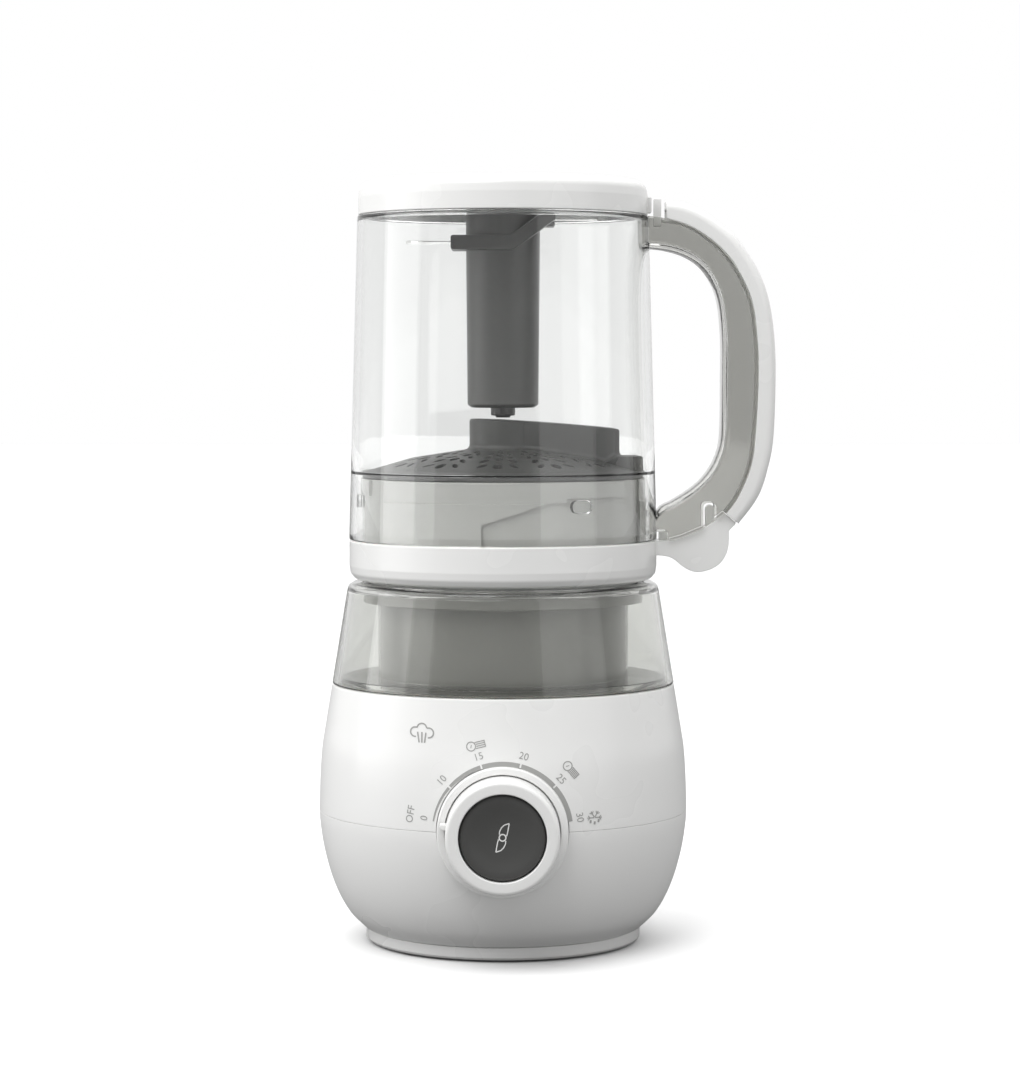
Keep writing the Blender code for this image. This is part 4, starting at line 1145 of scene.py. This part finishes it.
def channel_section(depth, wall, soft):
    """A U in (depth, width): open at depth 0, closed at full depth, with soft outer corners."""
    return rounded([
        (0, -HALF, 0.3), (depth, -HALF, soft), (depth, HALF, soft), (0, HALF, 0.3),
        (0, CHANNEL), (depth - wall, CHANNEL, 1.0), (depth - wall, -CHANNEL, 1.0), (0, -CHANNEL),
    ], 5)


def handle_half(name, open_line, closed_line, wall, soft, count=72):
    """Half of the hollow handle, from its open side to its closed side."""
    stations = []
    for a, b in zip(evenly(open_line, count), evenly(closed_line, count)):
        across = b - a
        section = channel_section(across.length, wall, soft)
        unit = across.normalized()
        stations.append([(a.x + unit.x * d, w, a.y + unit.y * d) for d, w in section])
    return loft(name, stations)


def jar_room(name):
    return lathe(name, [
        (0, 160), (64.1, 160), (64.1, 170), (60.5, 301), (60.5, 320), (0, 320),
    ])


def lid_room(name):
    return lathe(name, [
        (55, 167.1), (63.0, 167.1), (63.0, 170.7, 0.5), (68.8, 170.7, 0.5), (68.8, 167.4),
        (70.0, 167.4), (74.6, 168.7), (79.6, 170.8), (83.2, 172.3), (83.2, 182.5, 1.8),
        (88.7, 182.5, 1.8), (88.7, 176.0), (92.1, 178.8), (97.4, 174.3), (99, 150), (55, 150),
    ], 240)


def handle():
    seam, outer, inner = fine_line(GRIP_SEAM), fine_line(GRIP_OUTER), fine_line(GRIP_INNER)
    gap = Vector((0.24, 0.0))
    cover = handle_half("cover", [point + gap for point in seam], outer, 3.0, 4.5)
    boolean(cover, lid_room("room"))
    piece(cover, "handle_back", LID_WHITE, "handle_cover")

    start = [Vector((58.0, 300.6)), Vector((62.5, 300.2))]
    end = [Vector((84.0, 169.5)), Vector((70.0, 164.0)), Vector((58.0, 163.0))]
    grip = handle_half("grip", start + seam + end, inner, 2.6, 4.0)
    boolean(grip, jar_room("jar_side"))
    boolean(grip, lid_room("room"))
    piece(grip, "handle_front", GRIP_SMOKY, "handle_grip")


def rod():
    seam = fine_line(GRIP_SEAM)
    line = [Vector((65.7, 298.6)), *seam[4:-14]]
    count = 60
    stations = []
    points = evenly(line, count)
    for i, point in enumerate(points):
        along = (points[min(i + 1, count - 1)] - points[max(i - 1, 0)]).normalized()
        out = Vector((-along.y, along.x))
        centre = point - out * 0.8
        ring = rounded([(0.4, -4, 0.4), (1.5, -4, 0.4), (1.5, 4, 0.4), (0.4, 4, 0.4)], 3)
        stations.append([(centre.x + out.x * d, w, centre.y + out.y * d) for d, w in ring])
    piece(loft("strip", stations), "latch_rod", ROD, "push_rod")
    pin = box("pin", (62.3, -3.2, 296.4), (65.3, 3.2, 308.0), 0.5)
    piece(pin, "latch_pin", LID_WHITE, "interlock_pin")


WEB = (
    (-21.3, 286.3, 1), (4.4, 286.3, 2), (21.4, 298.6, 1), (21.4, 302.2, 1), (16.6, 302.2, 1),
    (3.2, 292.3, 2), (-21.3, 292.3, 1),
)


def blade_shape(outline, low, high, ridge):
    """A stamped blade, ground thin along its leading edge."""
    shape = extruded("blade", rounded(outline, 4), low, high, soften=0.25, steps=2)
    for vert in shape.data.vertices:
        _, y, z = vert.co / MM
        edge = min(max((ridge * y - 1.5) / 5.5, 0), 1)
        middle = (low + high) / 2
        vert.co.z = (middle + (z - middle) * (1 - 0.75 * edge)) * MM
    return shape


def blades():
    column = lathe("column", [
        (0, 224.6), (5.6, 224.6), (5.6, 221.6, 0.3), (12.9, 221.6, 1.2), (14.7, 222.8, 1.2),
        (15.4, 303.2, 0.4), (3.4, 303.2), (3.4, 284), (0, 284),
    ], MEDIUM)
    low_arm = rounded([(-21.3, -5, 1.5), (-10, -5), (-10, 5), (-21.3, 5, 1.5)], 4)
    high_arm = rounded([(10, -5), (21.4, -5, 1.5), (21.4, 5, 1.5), (10, 5)], 4)
    join(
        column,
        extruded("low_arm", low_arm, 286.3, 292.3, soften=0.8),
        extruded("high_arm", high_arm, 296.0, 302.2, soften=0.8),
        extruded("web", rounded(WEB, 4), -16.6, -8.2, True, 0.6),
    )
    boolean(
        column,
        box("low_slot", (-24, -8, 288.9), (-13, 8, 290.9)),
        box("high_slot", (13, -8, 298.3), (24, 8, 300.3)),
    )
    piece(column, "blade_holder", DARK, "blade_column")
    low = blade_shape([
        (-13.6, 5), (-13.6, -6.5), (-28, -7.5, 20), (-37, -4, 12), (-40.9, 3, 1.2), (-34, 4.5, 12),
        (-24, 3.5, 8),
    ], 289.2, 290.6, -1)
    piece(low, "blade_low", BLADE_STEEL, "lower_blade")
    high = blade_shape([
        (13.6, -5), (13.6, 6.5), (28, 7.5, 20), (36, 4, 12), (40.0, -3, 1.2), (34, -4.5, 12),
        (24, -3.5, 8),
    ], 298.6, 300.0, 1)
    piece(high, "blade_high", BLADE_STEEL, "upper_blade")
    tip = lathe("tip", [
        (0, 217.5), (2.9, 217.5, 0.3), (3.2, 218.2, 0.3), (5.0, 218.4, 0.5), (5.2, 224.2),
        (0, 224.2),
    ], COARSE)
    piece(tip, "holder_tip", DARK, "column_tip")
    driven = lathe("driven", [
        (0, 310.6), (9.9, 310.6), (9.9, 314.0, 0.3), (12.2, 314.0, 0.6), (12.2, 308.0, 0.3),
        (3.4, 308.0), (3.4, 309.9), (0, 309.9),
    ], MEDIUM)
    teeth = [
        lathe("tooth", [(0, 310), (1.3, 310), (1.3, 313.6, 0.5), (0, 313.6)], 24, (x, y, 0))
        for x, y in around(6, 10.2, math.pi / 6)
    ]
    join(driven, *teeth)
    piece(driven, "driven_hub", DARK, "driven_coupling")


def button_coil():
    """The spring behind the button, as a coil of wire."""
    stations = []
    for i in range(73):
        turn = 2 * math.pi * 1.6 * i / 72
        ring = []
        for k in range(12):
            a = 2 * math.pi * k / 12
            r, y = 9.4 + 0.6 * math.cos(a), -82.1 - 2.9 * i / 72 + 0.6 * math.sin(a)
            ring.append((r * math.cos(turn), y, KNOB_Z + r * math.sin(turn)))
        stations.append(ring)
    coil = piece(loft("coil", stations), "button_coil", STEEL, "button_spring")
    coil.modifiers.clear()
    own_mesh(coil)


# ---------------------------------------------------------------- studio


def look_at(obj, place, target):
    obj.location = place
    obj.rotation_euler = (Vector(target) - Vector(place)).to_track_quat("-Z", "Y").to_euler()


def lamp(name, place, target, width, height, power, shade=(1, 1, 1)):
    data = bpy.data.lights.new(name, "AREA")
    data.shape = "RECTANGLE"
    data.size, data.size_y = width, height
    data.energy = power
    data.color = shade
    obj = bpy.data.objects.new(name, data)
    obj.visible_camera = False
    bpy.context.scene.collection.objects.link(obj)
    look_at(obj, place, target)


def maths(tree, operation, a, b):
    """One sum on two numbers or sockets."""
    node = tree.nodes.new("ShaderNodeMath")
    node.operation = operation
    for socket, value in zip(node.inputs, (a, b)):
        if isinstance(value, (int, float)):
            socket.default_value = value
        else:
            tree.links.new(value, socket)
    return node.outputs[0]


def stepped(tree, source, start, end, low, high):
    """A soft step from low to high as the source goes from start to end."""
    node = tree.nodes.new("ShaderNodeMapRange")
    node.interpolation_type = "SMOOTHSTEP"
    names = ("From Min", "From Max", "To Min", "To Max")
    for socket, value in zip(names, (start, end, low, high)):
        node.inputs[socket].default_value = value
    tree.links.new(source, node.inputs["Value"])
    return node.outputs["Result"]


def sky():
    """A white studio: bright behind and overhead, dimmer in front, plain white to the eye."""
    world = bpy.data.worlds.new("studio")
    bpy.context.scene.world = world
    world.use_nodes = True
    tree = world.node_tree
    back = tree.nodes["Background"]
    place = tree.nodes.new("ShaderNodeTexCoord")
    split = tree.nodes.new("ShaderNodeSeparateXYZ")
    tree.links.new(place.outputs["Generated"], split.inputs["Vector"])
    around_it = stepped(tree, split.outputs["Y"], -0.3, 0.5, 0.40, 0.87)
    overhead = stepped(tree, split.outputs["Z"], 0.7, 0.86, 0.0, 1.5)
    path = tree.nodes.new("ShaderNodeLightPath")
    mix = tree.nodes.new("ShaderNodeMix")
    mix.data_type = "FLOAT"
    mix.inputs["B"].default_value = 1.0
    tree.links.new(path.outputs["Is Camera Ray"], mix.inputs["Factor"])
    tree.links.new(maths(tree, "ADD", around_it, overhead), mix.inputs["A"])
    tree.links.new(mix.outputs["Result"], back.inputs["Strength"])
    back.inputs["Color"].default_value = (1, 1, 1, 1)


def floor():
    """A pale floor that throws back less light than it shows, so undersides stay in shade."""
    mat, tree, shader, out = new_material("floor_white")
    patches = noise(tree, 3, 3)
    tree.links.new(
        ramp(tree, patches, (0.90, 0.90, 0.90), (0.93, 0.93, 0.93)), shader.inputs["Base Color"]
    )
    shader.inputs["Roughness"].default_value = 0.8
    shader.inputs["Specular IOR Level"].default_value = 0.1
    dim = tree.nodes.new("ShaderNodeBsdfDiffuse")
    tree.links.new(
        ramp(tree, patches, (0.23, 0.23, 0.23), (0.25, 0.25, 0.25)), dim.inputs["Color"]
    )
    path = tree.nodes.new("ShaderNodeLightPath")
    mix = tree.nodes.new("ShaderNodeMixShader")
    tree.links.new(path.outputs["Is Reflection Ray"], mix.inputs["Fac"])
    tree.links.new(shader.outputs["BSDF"], mix.inputs[1])
    tree.links.new(dim.outputs["BSDF"], mix.inputs[2])
    tree.links.new(mix.outputs["Shader"], out.inputs["Surface"])
    ground = mesh_object("floor", [
        (-9000, -9000, 0), (9000, -9000, 0), (9000, 9000, 0), (-9000, 9000, 0),
    ], [(0, 1, 2, 3)])
    ground.data.materials.append(mat)


def studio():
    sky()
    floor()
    middle = (0, 0, 0.16)
    lamp("left_box", (-1.19, -0.10, 0.55), middle, 0.8, 1.5, 4)
    lamp("left_fill", (-1.17, -0.27, 0.60), middle, 1.3, 1.6, 4.5)
    lamp("front_top", (-0.45, -0.85, 1.25), middle, 0.9, 0.9, 9)
    lamp("right_box", (0.92, -0.77, 0.5), middle, 1.07, 1.5, 3.2)
    data = bpy.data.cameras.new("camera")
    data.sensor_fit = "VERTICAL"
    data.sensor_height = 36.0
    data.lens = 102.3
    data.clip_end = 50
    camera = bpy.data.objects.new("camera", data)
    camera.location = (0.0029, -1.2771, 0.2352)
    camera.rotation_euler = (math.radians(90 - 3.09), 0, 0)
    bpy.context.scene.collection.objects.link(camera)
    bpy.context.scene.camera = camera
    bpy.context.scene.view_settings.view_transform = "Standard"


def carried_over():
    """Better materials for the CAD nodes that no piece stands for."""
    for name, node in frame["nodes"].items():
        if not node.hide_render:
            for slot in node.material_slots:
                slot.material = BY_SLOT[SLOT_OF[name]]


under_plate()
lower_body()
upper_body()
tank()
steam_and_drive()
knob()
dial_scale()
body_icons()
button_icon()
lid()
sieve()
jar()
handle()
rod()
blades()
button_coil()
carried_over()
studio()
